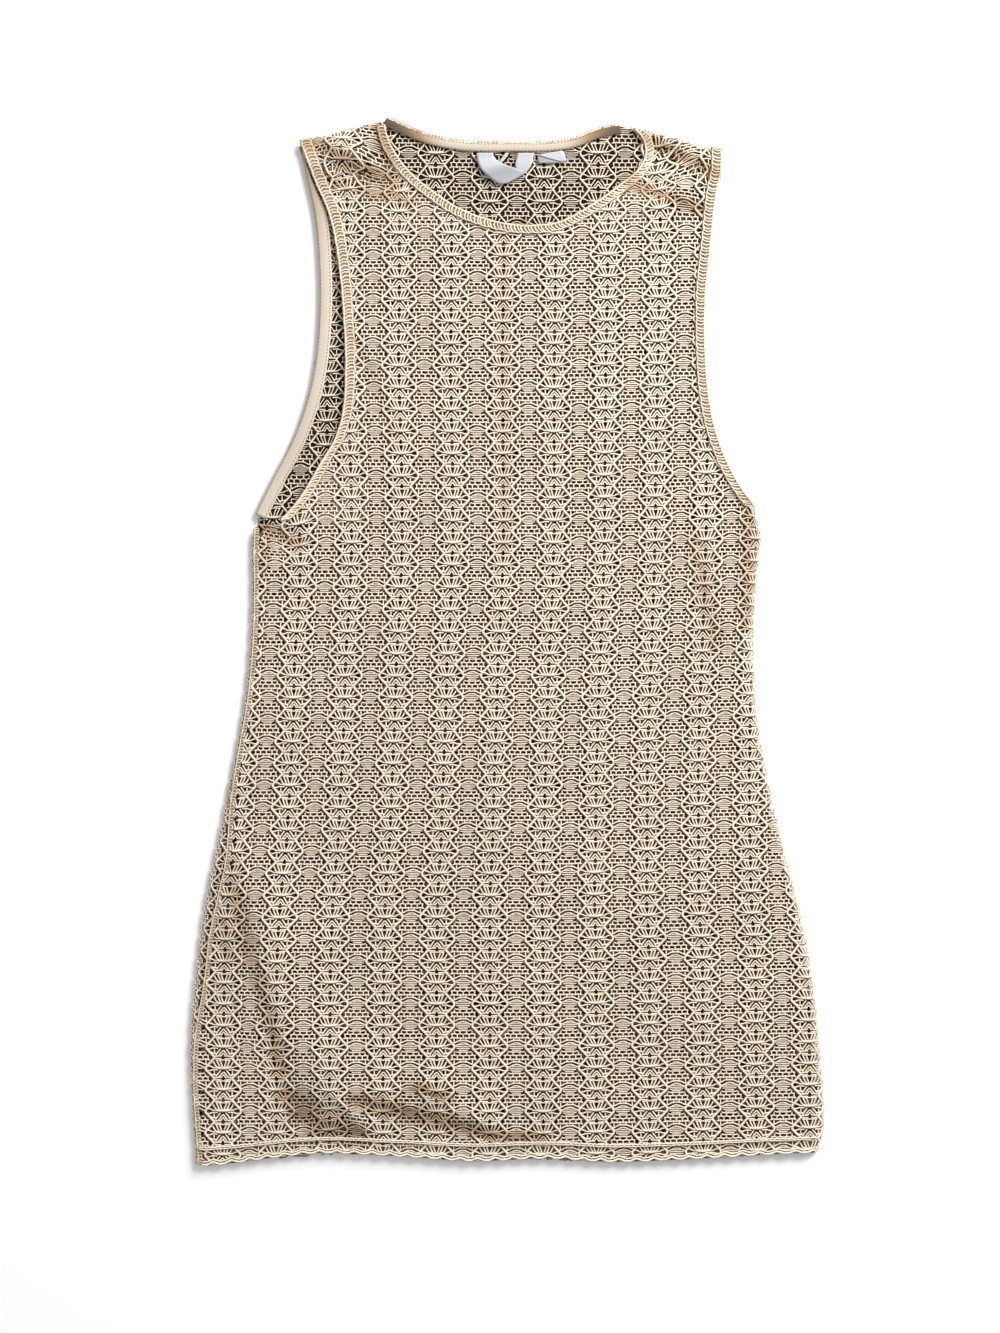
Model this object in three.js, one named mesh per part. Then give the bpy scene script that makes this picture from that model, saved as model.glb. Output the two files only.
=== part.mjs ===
import * as THREE from "three";

// Sleeveless crochet-look top, laid flat on its back with the front facing up.
// Millimetres. Here x runs across from the centre line and y up from the hem; z is up from the surface.
// "Left" and "right" are as seen from above. At the end the whole top is centred on its own box.

const LACE = 1.6; // thickness of the open knit
const GAP = 0.3; // clearance between neighbouring pieces
const TRIM = 1.0; // thickness of tapes, turned edges and labels
const FRONT_UNDER = LACE + GAP; // underside of the front panel where it lies on the back panel
const FRONT_OVER = FRONT_UNDER + LACE;
const SIDE_TOP = 458.5; // height of the side seams
const NECK_FRONT = 676.5; // lowest point of the front neckline
const NECK_BACK = 737.3; // lowest point of the back neckline
const NECK_CENTRE = 10; // the neckline has slid a little to the right
const HEM_DEPTH = 14; // turned hem
const HEM_WAVE_REACH = 60; // how far up the uneven hem line is felt
const ROLL = 3; // radius of the soft fold at the right side
const ROLL_POINTS = 3; // points of the fold in each row
const ROLL_ROUNDING = 0.8; // how much the fold's upper corner is taken off
const FOLD_ROUNDING = 0.6; // the same for the corners of the fold at the left side
const FOLD_IN = 0.4; // how far the corners of both folds stand in from the outermost line
const REAR_IN = 0.1; // the same on the rear, where the cloth turns more tightly
const REAR_DOWN = 0.05;
const NECK_EDGE_WIDTH = 6.5;
const ARMHOLE_EDGE_WIDTH = 8.5;
const NECK_TAPE_WIDTH = 8;
const ARMHOLE_TAPE_WIDTH = 9;
const TAPE_CLEARANCE = 0.8; // from the armhole tape to the front panel's edge
const EDGE_SAMPLES = 200;
const LABEL_WIDTH = 11;
const LABEL_RISE = 1.5; // how far the loop of the main label stands up
const BODY_ROWS = 25;
const STRAP_CENTRE_ROWS = 10; // front rows between the underarm and the bottom of the neckline
const STRAP_NECK_ROWS = 8; // front rows that end on the neckline
const BACK_CENTRE_ROWS = 13;
const BACK_NECK_ROWS = 4;
const FRONT_COLUMNS = 12; // columns in each half of the front panel
const BACK_COLUMNS = 4;
const LABEL_STEPS = 18; // rows of points round the loop of the main label

// The bands along the neckline and armhole: where each begins and ends along its curve, in shares of
// the curve's length, and its number of steps.
const NECK_TAPE_RUN = { from: 0.03, to: 0.97, steps: 30 };
const NECK_EDGE_RUN = { from: 0.015, to: 0.975, steps: 36 };
const ARMHOLE_TAPE_RUN = { from: 0.05, to: 0.93, steps: 30 };

const LACE_COLOUR = 0xe9dcc3;
const TAPE_COLOUR = 0xe4d2bf;
const LABEL_COLOUR = 0xf2f1ee;

/** Gives each row of numbers its column names. */
const table = (names, rows) => rows.map((row) => Object.fromEntries(names.map((name, i) => [name, row[i]])));

// Sides of the body from the hem to the underarm. The side seam on the left has rolled on to the front
// by the amount "seam", and the back panel follows it round the fold.
const SIDES = table(
  ["y", "left", "right", "seam"],
  [
    [0, 224.5, 224.5, 3.5],
    [20, 225.5, 228.5, 3.5],
    [47, 227.5, 228, 3.5],
    [90, 228.5, 225, 5],
    [133, 225, 220.5, 8.5],
    [162, 221.5, 216, 8],
    [191, 217.5, 209.5, 10],
    [220, 211.5, 201.5, 10.5],
    [248, 205.5, 195, 6.5],
    [277, 199.5, 189, 4],
    [306, 194, 183, 3.5],
    [335, 189, 179.5, 3.5],
    [364, 186, 178.5, 3.5],
    [392, 184.5, 178, 3.5],
    [421, 184, 180, 3.5],
    [443, 184.5, 183, 3.5],
    [463, 183.5, 184.5, 3.5],
  ],
);

// Lower edge of the hem: it waves a little across the body.
const HEM_LINE = table(
  ["x", "y"],
  [
    [-229, 1],
    [-212, 0],
    [-157, 7],
    [-128, 9],
    [-55, 5],
    [-26, 3],
    [30, 5],
    [75, 2.5],
    [130, 4.5],
    [190, 8],
    [229, 9.5],
  ],
);

const FRONT_ARMHOLE_LEFT = table(
  ["x", "y"],
  [
    [-179.5, 459],
    [-171, 459.5],
    [-160, 467],
    [-148, 482],
    [-135, 504],
    [-122, 527],
    [-117.5, 550],
    [-116.5, 580],
    [-118, 612],
    [-121, 645],
    [-128, 683],
    [-139, 709],
    [-149.5, 737],
  ],
);

const BACK_ARMHOLE_LEFT = table(
  ["x", "y"],
  [
    [-183.5, 459],
    [-181, 468],
    [-169, 493],
    [-154, 522],
    [-143.5, 551],
    [-137.5, 580],
    [-134.8, 615],
    [-134.8, 640],
    [-138, 682],
    [-144.5, 713],
    [-149.5, 737],
  ],
);

const ARMHOLE_RIGHT = table(
  ["x", "y"],
  [
    [184.5, 459],
    [182.5, 468],
    [165.5, 493],
    [153, 521],
    [146, 551],
    [143.2, 587],
    [143.2, 622],
    [147.5, 665],
    [150.5, 695],
    [154.5, 715],
    [155, 731],
  ],
);

const FRONT_NECK_LEFT = table(
  ["x", "y"],
  [
    [NECK_CENTRE, NECK_FRONT],
    [-11, 680],
    [-33, 688],
    [-54, 701.5],
    [-73, 718.5],
    [-85, 738],
    [-88, 752.5],
  ],
);

const FRONT_NECK_RIGHT = table(
  ["x", "y"],
  [
    [NECK_CENTRE, NECK_FRONT],
    [36, 678.5],
    [58, 689.5],
    [79, 704],
    [95, 717.5],
    [99.5, 730],
    [94, 743],
    [85, 748.5],
  ],
);

const BACK_NECK_LEFT = table(
  ["x", "y"],
  [
    [NECK_CENTRE, NECK_BACK],
    [-31, 738],
    [-57, 743],
    [-72, 749],
    [-84, 754.5],
  ],
);

const BACK_NECK_RIGHT = table(
  ["x", "y"],
  [
    [NECK_CENTRE, NECK_BACK],
    [30, 737.5],
    [47, 740],
    [64, 746.5],
    [81, 750.2],
  ],
);

// Loop of the main label, sewn under the neck tape at both ends.
const MAIN_LABEL_LOOP = table(
  ["x", "y"],
  [
    [-15.5, 728.3],
    [-15, 721],
    [-9.5, 714],
    [-1, 711.5],
    [8, 714],
    [13, 721],
    [13.7, 728.3],
  ],
);

// Folded size label beside it: a row for its upper and its lower edge.
const SIZE_LABEL = table(
  ["leftX", "leftY", "rightX", "rightY"],
  [
    [24, 720.5, 43, 721],
    [22, 728.4, 41, 729.6],
  ],
);

// Largest folds of the front: soft ridges from one end to the other, falling off over "near" on the
// side to the left of that direction and over "far" on the other side.
const FOLDS = table(
  ["fromX", "fromY", "toX", "toY", "rise", "near", "far"],
  [
    [-172, 78, -196, 222, 6, 16, 75],
    [-95, 20, -178, 112, 6.5, 20, 60],
    [-5, 22, -92, 66, 4, 16, 40],
    [62, 18, 20, 60, 2.5, 14, 30],
    [-96, 728, -128, 716, 3, 12, 12],
    [112, 730, 138, 717, 3, 12, 12],
  ],
);

/** Reads a table column at any place along another column, with a smooth curve through its rows. */
function readSmooth(rows, along, column, place) {
  const last = rows.length - 1;
  const found = rows.findIndex((row) => row[along] > place);
  const index = Math.max(0, (found < 0 ? last : found) - 1);
  const at = (i) => rows[Math.min(last, Math.max(0, i))];
  const slope = (i) => (at(i + 1)[column] - at(i - 1)[column]) / (at(i + 1)[along] - at(i - 1)[along]);
  const step = at(index + 1)[along] - at(index)[along];
  const t = THREE.MathUtils.clamp((place - at(index)[along]) / step, 0, 1);
  const eased = t * t * (3 - 2 * t);
  const start = t * (1 - t) * (1 - t) * step * slope(index);
  const end = t * t * (t - 1) * step * slope(index + 1);
  return THREE.MathUtils.lerp(at(index)[column], at(index + 1)[column], eased) + start + end;
}

/** A smooth plan curve through a table of points. */
function planCurve(points) {
  const vectors = points.map(({ x, y }) => new THREE.Vector3(x, y, 0));
  return new THREE.CatmullRomCurve3(vectors, false, "centripetal");
}

/** Height that the folds add to the front panel at a place. */
function foldHeight(x, y) {
  let height = 0;
  for (const fold of FOLDS) {
    const run = new THREE.Vector2(fold.toX - fold.fromX, fold.toY - fold.fromY);
    const length = run.length();
    run.normalize();
    const offset = new THREE.Vector2(x - fold.fromX, y - fold.fromY);
    const along = offset.dot(run) / length;
    const aside = run.cross(offset);
    const across = Math.abs(aside) / (aside > 0 ? fold.near : fold.far);
    if (along > 0 && along < 1 && across < 1) {
      const bell = (1 + Math.cos(Math.PI * across)) / 2;
      height = Math.max(height, fold.rise * Math.sin(Math.PI * along) * bell);
    }
  }
  return height;
}

/** A point of a wall, with its place on the wall's two faces. */
const wallPoint = (face, rear) => ({ face: new THREE.Vector3(...face), rear: new THREE.Vector3(...rear) });

const flatPoint = (x, y, under, over) => wallPoint([x, y, over], [x, y, under]);

const frontPoint = (x, y) => {
  const lift = foldHeight(x, y);
  return flatPoint(x, y, FRONT_UNDER + lift, FRONT_OVER + lift);
};

const backPoint = (x, y) => flatPoint(x, y, 0, LACE);

/** The same points moved up off a wall's upper face by the clearance, with a thickness of their own. */
const laidOn = (points) =>
  points.map(({ face: { x, y, z } }) => wallPoint([x, y, z + GAP + TRIM], [x, y, z + GAP]));

/**
 * Closes grids of wall points into one solid. Neighbouring rows join wherever both have points, grids
 * that share a point are one wall there, and every open edge is closed from face to rear.
 */
function wallSolid(grids) {
  const points = [];
  const numbers = new Map();
  const numberOf = (point) => {
    if (!numbers.has(point)) {
      numbers.set(point, points.length);
      points.push(point);
    }
    return numbers.get(point);
  };
  const faces = [];
  for (const rows of grids) {
    for (let j = 0; j + 1 < rows.length; j += 1) {
      for (let k = 0; k + 1 < rows[j].length; k += 1) {
        const corners = [rows[j][k], rows[j][k + 1], rows[j + 1][k + 1], rows[j + 1][k]];
        if (corners.every(Boolean)) {
          const [a, b, c, d] = corners.map(numberOf);
          faces.push([a, b, c], [a, c, d]);
        }
      }
    }
  }
  const edges = new Set(faces.flatMap(([a, b, c]) => [`${a} ${b}`, `${b} ${c}`, `${c} ${a}`]));
  const rear = points.length;
  const indices = faces.flatMap(([a, b, c]) => [a, b, c, rear + a, rear + c, rear + b]);
  for (const edge of edges) {
    const [a, b] = edge.split(" ").map(Number);
    if (!edges.has(`${b} ${a}`)) {
      indices.push(a, rear + a, rear + b, a, rear + b, b);
    }
  }
  const geometry = new THREE.BufferGeometry();
  geometry.setFromPoints([...points.map((point) => point.face), ...points.map((point) => point.rear)]);
  geometry.setIndex(indices);
  geometry.computeVertexNormals();
  return geometry;
}

/** Places of the columns between two plan points, with a narrow one of the given width at the outer end. */
function columnsBetween(outer, inner, count, narrow) {
  const length = Math.hypot(inner.x - outer.x, inner.y - outer.y);
  const first = narrow / length;
  return Array.from({ length: count + 1 }, (_, k) => {
    const share = k === 0 ? 0 : first + ((1 - first) * (k - 1)) / (count - 1);
    return {
      x: THREE.MathUtils.lerp(outer.x, inner.x, share),
      y: THREE.MathUtils.lerp(outer.y, inner.y, share),
    };
  });
}

/** Height of a body row at x: the lowest rows follow the uneven hem line, the others are level. */
function rowHeight(x, level) {
  const hem = readSmooth(HEM_LINE, "x", "y", x);
  const felt = Math.max(0, 1 - level / HEM_WAVE_REACH);
  return level + felt * hem;
}

/** Levels of the body rows: the hem, its stitch line, and even steps up to the underarm. */
function bodyLevels() {
  const above = Array.from({ length: BODY_ROWS }, (_, j) =>
    THREE.MathUtils.lerp(HEM_DEPTH, SIDE_TOP, j / (BODY_ROWS - 1)),
  );
  return [0, ...above];
}

/**
 * Rows of one half of a panel, from its outer edge to the centre line and then to the neckline.
 * "outerAt" gives the outer end of a body row, and "point" makes a wall point of a place.
 */
function halfPanel({ outerAt, armhole, neck, columns, narrow, point, centre, ...counts }) {
  const { centreRows, neckRows, neckHeight } = counts;
  const rows = bodyLevels().map((level, j) => {
    const inner = { x: 0, y: level };
    const places = columnsBetween({ x: outerAt(level), y: level }, inner, columns, narrow);
    const made = places.slice(0, -1).map(({ x }) => point(x, rowHeight(x, level)));
    centre[j] ??= point(0, rowHeight(0, level));
    return [...made, centre[j]];
  });
  const body = rows.length - 1;
  for (let k = 1; k <= centreRows + neckRows; k += 1) {
    const outer = armhole.getPointAt(k / (centreRows + neckRows));
    const share = k / centreRows;
    const onCentre = {
      x: NECK_CENTRE * share,
      y: THREE.MathUtils.lerp(SIDE_TOP, neckHeight, share),
    };
    const inner = share <= 1 ? onCentre : neck.getPointAt((k - centreRows) / neckRows);
    const made = columnsBetween(outer, inner, columns, narrow).map(({ x, y }) => point(x, y));
    if (share <= 1) {
      centre[body + k] ??= made[columns];
      made[columns] = centre[body + k];
    }
    rows.push(made);
  }
  return rows;
}

/** Turns rows that run outwards from the centre round, so that every row runs from left to right. */
const reversedRows = (rows) => rows.map((row) => [...row].reverse());

/** Adds the soft fold at the right side, where the front comes down round the edge of the back. */
function addRightRoll(row) {
  const { x, y, z } = row.at(-1).face;
  const top = z;
  const rear = z - LACE;
  const outside = x + ROLL;
  const inside = outside - LACE;
  const corner = [outside - ROLL_ROUNDING, y, top - ROLL_ROUNDING];
  row.push(wallPoint(corner, [inside - REAR_IN, y, rear - REAR_DOWN]));
  row.push(wallPoint([outside, y, top / 2], [inside, y, rear / 2]));
  row.push(wallPoint([outside - FOLD_IN, y, 0], [inside, y, 0]));
}

/** The back panel's return over the left fold on to the front, as far as the side seam. */
function leftReturn(y, outside, seam) {
  const inside = outside + LACE;
  const middle = LACE + GAP / 2;
  const edge = inside + GAP;
  const faceX = inside + REAR_IN;
  const rearX = outside + FOLD_IN;
  return [
    wallPoint([outside + seam, y, FRONT_UNDER], [outside + seam, y, FRONT_OVER]),
    wallPoint([edge, y, FRONT_UNDER], [edge, y, FRONT_OVER]),
    wallPoint([faceX, y, FRONT_UNDER - REAR_DOWN], [rearX, y, FRONT_OVER - FOLD_ROUNDING]),
    wallPoint([inside, y, middle], [outside, y, middle]),
    wallPoint([faceX, y, LACE + REAR_DOWN], [rearX, y, FOLD_ROUNDING]),
  ];
}

function frontPanel() {
  const centre = [];
  const shared = {
    centreRows: STRAP_CENTRE_ROWS,
    neckRows: STRAP_NECK_ROWS,
    neckHeight: NECK_FRONT,
    columns: FRONT_COLUMNS,
    narrow: ARMHOLE_EDGE_WIDTH,
    centre,
    point: frontPoint,
  };
  const left = halfPanel({
    ...shared,
    outerAt: (y) => readSmooth(SIDES, "y", "seam", y) + GAP - readSmooth(SIDES, "y", "left", y),
    armhole: planCurve(FRONT_ARMHOLE_LEFT),
    neck: planCurve(FRONT_NECK_LEFT),
  });
  const right = reversedRows(
    halfPanel({
      ...shared,
      outerAt: (y) => readSmooth(SIDES, "y", "right", y) - ROLL,
      armhole: planCurve(ARMHOLE_RIGHT),
      neck: planCurve(FRONT_NECK_RIGHT),
    }),
  );
  right.slice(0, BODY_ROWS + 1).forEach(addRightRoll);
  return [left, right];
}

function backPanel() {
  const centre = [];
  const shared = {
    centreRows: BACK_CENTRE_ROWS,
    neckRows: BACK_NECK_ROWS,
    neckHeight: NECK_BACK,
    columns: BACK_COLUMNS,
    narrow: ARMHOLE_TAPE_WIDTH,
    centre,
    point: backPoint,
  };
  const left = halfPanel({
    ...shared,
    outerAt: (y) => LACE + GAP - readSmooth(SIDES, "y", "left", y),
    armhole: planCurve(BACK_ARMHOLE_LEFT),
    neck: planCurve(BACK_NECK_LEFT),
  });
  bodyLevels().forEach((level, j) => {
    const outside = -readSmooth(SIDES, "y", "left", level);
    const wrapped = leftReturn(rowHeight(outside, level), outside, readSmooth(SIDES, "y", "seam", level));
    left[j] = [...wrapped, ...left[j]];
  });
  for (let j = BODY_ROWS + 1; j < left.length; j += 1) {
    left[j] = [...new Array(left[0].length - left[j].length).fill(null), ...left[j]];
  }
  const right = reversedRows(
    halfPanel({
      ...shared,
      outerAt: (y) => readSmooth(SIDES, "y", "right", y) - LACE - GAP,
      armhole: planCurve(ARMHOLE_RIGHT.map(({ x, y }) => ({ x: x - LACE - GAP, y }))),
      neck: planCurve(BACK_NECK_RIGHT),
    }),
  );
  return [left, right];
}

/**
 * A band along a plan curve, on one side of it. "widthAt" gives the band's width at a point of the curve,
 * and "side" is 1 for the curve's left and -1 for its right.
 */
function bandAlong(curve, { from, to, steps, side, widthAt, point }) {
  const rows = [];
  for (let j = 0; j <= steps; j += 1) {
    const place = THREE.MathUtils.lerp(from, to, j / steps);
    const edge = curve.getPointAt(place);
    const tangent = curve.getTangentAt(place);
    const width = widthAt(edge);
    const inner = { x: edge.x - side * tangent.y * width, y: edge.y + side * tangent.x * width };
    const row = [point(edge.x, edge.y), point(inner.x, inner.y)];
    rows.push(side > 0 ? row.reverse() : row);
  }
  return rows;
}

const onBack = (x, y) => flatPoint(x, y, LACE + GAP, LACE + GAP + TRIM);

const onFront = (x, y) => flatPoint(x, y, FRONT_OVER + GAP, FRONT_OVER + GAP + TRIM);

/** The whole neckline as one curve from its left shoulder end to its right one. */
const neckCurve = (left, right) => planCurve([...[...left].reverse(), ...right.slice(1)]);

function neckTape() {
  return bandAlong(neckCurve(BACK_NECK_LEFT, BACK_NECK_RIGHT), {
    ...NECK_TAPE_RUN,
    side: -1,
    widthAt: () => NECK_TAPE_WIDTH,
    point: onBack,
  });
}

/** The turned neck edge of the front narrows at the right shoulder, where the shoulder edge cuts it off. */
function frontNeckEdge() {
  const shoulder = new THREE.Line3(
    new THREE.Vector3(FRONT_NECK_RIGHT.at(-1).x, FRONT_NECK_RIGHT.at(-1).y, 0),
    new THREE.Vector3(ARMHOLE_RIGHT.at(-1).x, ARMHOLE_RIGHT.at(-1).y, 0),
  );
  const room = (edge) => shoulder.closestPointToPoint(edge, true, new THREE.Vector3()).distanceTo(edge);
  return bandAlong(neckCurve(FRONT_NECK_LEFT, FRONT_NECK_RIGHT), {
    ...NECK_EDGE_RUN,
    side: -1,
    widthAt: (edge) => Math.min(NECK_EDGE_WIDTH, room(edge)),
    point: onFront,
  });
}

/** The tape inside the left armhole shows up to the front panel's edge, and narrows where the two meet. */
function armholeTape() {
  const frontEdge = planCurve(FRONT_ARMHOLE_LEFT).getSpacedPoints(EDGE_SAMPLES);
  const room = (edge) => Math.min(...frontEdge.map((point) => point.distanceTo(edge))) - TAPE_CLEARANCE;
  return bandAlong(planCurve(BACK_ARMHOLE_LEFT), {
    ...ARMHOLE_TAPE_RUN,
    side: -1,
    widthAt: (edge) => Math.min(ARMHOLE_TAPE_WIDTH, room(edge)),
    point: onBack,
  });
}

/** The turned lace edge of an armhole: the panel's outermost column of points, moved up. */
function armholeEdge(rows, fromEnd) {
  return rows.slice(BODY_ROWS + 1).map((row) => laidOn(fromEnd ? row.slice(-2) : row.slice(0, 2)));
}

/** The turned hem: the panel's two lowest rows of points, moved up. */
function hemBand([left, right]) {
  const rows = [0, 1].map((j) => laidOn([...left[j], ...right[j].slice(1, -ROLL_POINTS)]));
  return [rows];
}

function mainLabel() {
  const loop = planCurve(MAIN_LABEL_LOOP);
  const half = LABEL_WIDTH / 2;
  const rows = [];
  for (let j = 0; j <= LABEL_STEPS; j += 1) {
    const share = j / LABEL_STEPS;
    const { x, y } = loop.getPointAt(share);
    const tangent = loop.getTangentAt(share);
    const lift = LABEL_RISE * Math.sin(Math.PI * share);
    const row = [1, 0, -1].map((side) =>
      flatPoint(
        x - side * tangent.y * half,
        y + side * tangent.x * half,
        LACE + GAP + lift,
        LACE + GAP + lift + TRIM,
      ),
    );
    rows.push(row);
  }
  return [rows];
}

function sizeLabel() {
  const ends = ({ leftX, leftY, rightX, rightY }) => [onBack(leftX, leftY), onBack(rightX, rightY)];
  return [SIZE_LABEL.map(ends)];
}

const lace = () => new THREE.MeshStandardMaterial({ color: LACE_COLOUR, roughness: 0.9, metalness: 0 });
const tape = () => new THREE.MeshStandardMaterial({ color: TAPE_COLOUR, roughness: 0.85, metalness: 0 });
const label = () => new THREE.MeshStandardMaterial({ color: LABEL_COLOUR, roughness: 0.6, metalness: 0 });

const front = frontPanel();
const pieces = [
  { name: "back_panel", grids: backPanel(), material: lace },
  { name: "front_panel", grids: front, material: lace },
  { name: "hem_front", grids: hemBand(front), material: lace },
  { name: "neck_edge_front", grids: [frontNeckEdge()], material: lace },
  { name: "armhole_edge_left", grids: [armholeEdge(front[0], false)], material: lace },
  { name: "armhole_edge_right", grids: [armholeEdge(front[1], true)], material: lace },
  { name: "neck_tape", grids: [neckTape()], material: tape },
  { name: "armhole_tape_left", grids: [armholeTape()], material: tape },
  { name: "main_label", grids: mainLabel(), material: label },
  { name: "size_label", grids: sizeLabel(), material: label },
];

const top = new THREE.Group();
for (const { name, grids, material } of pieces) {
  const mesh = new THREE.Mesh(wallSolid(grids), material());
  mesh.name = name;
  top.add(mesh);
}

const box = new THREE.Box3().setFromObject(top);
const middle = box.getCenter(new THREE.Vector3());
top.position.set(-middle.x, -middle.y, -box.min.z);

export default top;
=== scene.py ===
"""Looks for the crochet top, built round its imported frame. Metres; the tables below are in millimetres."""

import math

import bmesh
import bpy
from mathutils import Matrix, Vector


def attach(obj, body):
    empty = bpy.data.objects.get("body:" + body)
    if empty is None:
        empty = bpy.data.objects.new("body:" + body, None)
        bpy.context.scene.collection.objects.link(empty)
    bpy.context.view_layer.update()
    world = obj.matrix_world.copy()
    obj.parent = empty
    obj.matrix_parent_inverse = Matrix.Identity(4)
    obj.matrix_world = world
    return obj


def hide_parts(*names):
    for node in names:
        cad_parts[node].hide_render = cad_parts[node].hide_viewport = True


bl_info = {
    "name": "Crochet top",
    "version": (1, 0, 0),
    "blender": (4, 5, 0),
    "location": "3D View > Sidebar > Crochet top",
    "description": "Knits a sleeveless crochet top, laid flat, round its packed frame",
    "category": "Add Mesh",
}

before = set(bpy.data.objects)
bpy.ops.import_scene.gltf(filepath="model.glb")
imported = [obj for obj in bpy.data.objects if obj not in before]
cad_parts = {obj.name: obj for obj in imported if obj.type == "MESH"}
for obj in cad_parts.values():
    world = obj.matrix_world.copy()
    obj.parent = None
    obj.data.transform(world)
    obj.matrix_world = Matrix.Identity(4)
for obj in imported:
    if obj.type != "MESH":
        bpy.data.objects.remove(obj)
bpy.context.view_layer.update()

MM = 0.001
PAINTED_SHADE = "tone"
CLOTH = "cloth"
WIDTH = "width"
LIFT = "lift"
BAKE_MAP = "OFBake"
FIBRE_GROUP = "Fibre nap"
KNIT_TREE = "Knit on cloth"

# ---------------------------------------------------------------- charts of the knit
# A chart is drawn in repeats: u across and v up, one fan to each whole number.
# Rows: yarn width in mm, lift in mm, mirrored about u = 0, points.
FAN = [
    (1.4, 0.1, True, [(0.030, 0.60), (0.17, 0.56)]),
    (1.3, 0.1, True, [(0.030, 0.455), (0.165, 0.47)]),
    (1.1, 0.2, False, [(-0.14, 0.395), (0.0, 0.41), (0.14, 0.395)]),
    (1.3, 0.3, True, [(0.060, 0.39), (0.038, 0.22), (0.015, 0.06)]),
    (1.35, 0.3, True, [(0.124, 0.39), (0.094, 0.22), (0.06, 0.05)]),
    (1.3, 0.2, True, [(0.19, 0.33), (0.158, 0.18), (0.115, 0.05)]),
    (2.5, 0.6, False, [(-0.125, 0.055), (-0.04, 0.03), (0.04, 0.03), (0.125, 0.055)]),
    (1.2, 0.2, True, [(0.10, 0.035), (0.19, 0.055), (0.225, 0.105), (0.28, 0.14)]),
    (1.25, 0.2, True, [(0.05, -0.07), (0.092, -0.2), (0.14, -0.38)]),
    (1.2, 0.25, True, [(0.0, -0.15), (0.036, -0.24), (0.086, -0.40)]),
    (1.2, 0.2, True, [(0.0, -0.27), (0.05, -0.44)]),
    (1.2, 0.2, True, [(0.32, -0.10), (0.25, -0.095), (0.19, -0.045), (0.10, -0.06)]),
    (1.1, 0.1, True, [(0.17, -0.09), (0.166, -0.28)]),
    (1.4, 0.2, True, [(0.11, -0.31), (0.18, -0.29), (0.25, -0.26)]),
    (2.1, 0.4, True, [(0.160, 0.53), (0.228, 0.33), (0.295, 0.16), (0.335, 0.03)]),
    (2.1, 0.4, True, [(0.335, 0.03), (0.325, -0.06), (0.25, -0.25), (0.160, -0.47)]),
]
MESH = [
    (0.95, -0.2, False, [(0.40, 0.105), (0.60, 0.105)]),
    (0.95, -0.2, False, [(0.36, 0.020), (0.5, 0.012), (0.64, 0.020)]),
    (0.95, -0.2, False, [(0.375, -0.070), (0.625, -0.070)]),
    (0.9, -0.2, False, [(0.415, -0.150), (0.585, -0.150)]),
    (1.1, 0.0, False, [(0.345, 0.80), (0.39, 0.765), (0.5, 0.77), (0.61, 0.765), (0.655, 0.80)]),
    (1.15, 0.0, False, [(0.27, 0.60), (0.33, 0.63), (0.385, 0.595), (0.443, 0.625), (0.5, 0.59)]),
    (1.15, 0.0, False, [(0.5, 0.59), (0.557, 0.625), (0.615, 0.595), (0.67, 0.63), (0.73, 0.60)]),
    (1.15, 0.0, False, [(0.255, 0.405), (0.33, 0.445), (0.40, 0.415), (0.443, 0.445), (0.5, 0.415)]),
    (1.15, 0.0, False, [(0.5, 0.415), (0.557, 0.445), (0.60, 0.415), (0.67, 0.445), (0.745, 0.405)]),
    (1.2, 0.1, True, [(0.5, 0.315), (0.42, 0.30), (0.36, 0.225), (0.31, 0.18)]),
    (1.1, 0.0, True, [(0.5, 0.195), (0.45, 0.175), (0.39, 0.095), (0.34, 0.055)]),
    (1.1, -0.1, True, [(0.335, 0.63), (0.335, 0.77)]),
    (1.2, -0.1, True, [(0.437, 0.62), (0.437, 0.77)]),
    (1.1, -0.1, True, [(0.288, 0.42), (0.288, 0.61)]),
    (1.2, -0.1, True, [(0.387, 0.42), (0.387, 0.61)]),
    (1.2, -0.1, False, [(0.5, 0.42), (0.5, 0.59)]),
    (1.1, -0.1, True, [(0.328, 0.22), (0.328, 0.43)]),
    (1.5, -0.1, True, [(0.448, 0.31), (0.448, 0.43)]),
]
LACE_CHART = FAN + MESH

# Turned edges: u runs across the band from its free edge, v along it, one repeat to each whole number.
EDGE_CHART = [
    (1.5, 0.3, False, [(0.12, 0.0), (0.08, 0.25), (0.12, 0.5), (0.09, 0.75), (0.12, 1.0)]),
    (1.0, 0.0, False, [(0.90, 0.0), (0.84, 0.3), (0.93, 0.62), (0.90, 1.0)]),
    (1.3, 0.1, False, [(0.14, 0.06), (0.45, 0.22), (0.90, 0.10)]),
    (1.1, 0.1, False, [(0.14, 0.36), (0.5, 0.48), (0.90, 0.36)]),
    (1.3, 0.1, False, [(0.14, 0.66), (0.5, 0.84), (0.90, 0.72)]),
]
RIM_CHART = [
    (1.1, 0.3, False, [(0.15, 0.0), (0.10, 0.5), (0.15, 1.0)]),
    (1.0, 0.2, False, [(0.12, 0.1), (0.6, 0.3), (0.95, 0.15)]),
    (1.0, 0.2, False, [(0.12, 0.45), (0.6, 0.6), (0.95, 0.5)]),
    (1.0, 0.2, False, [(0.12, 0.8), (0.6, 0.95), (0.95, 0.8)]),
]
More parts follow.
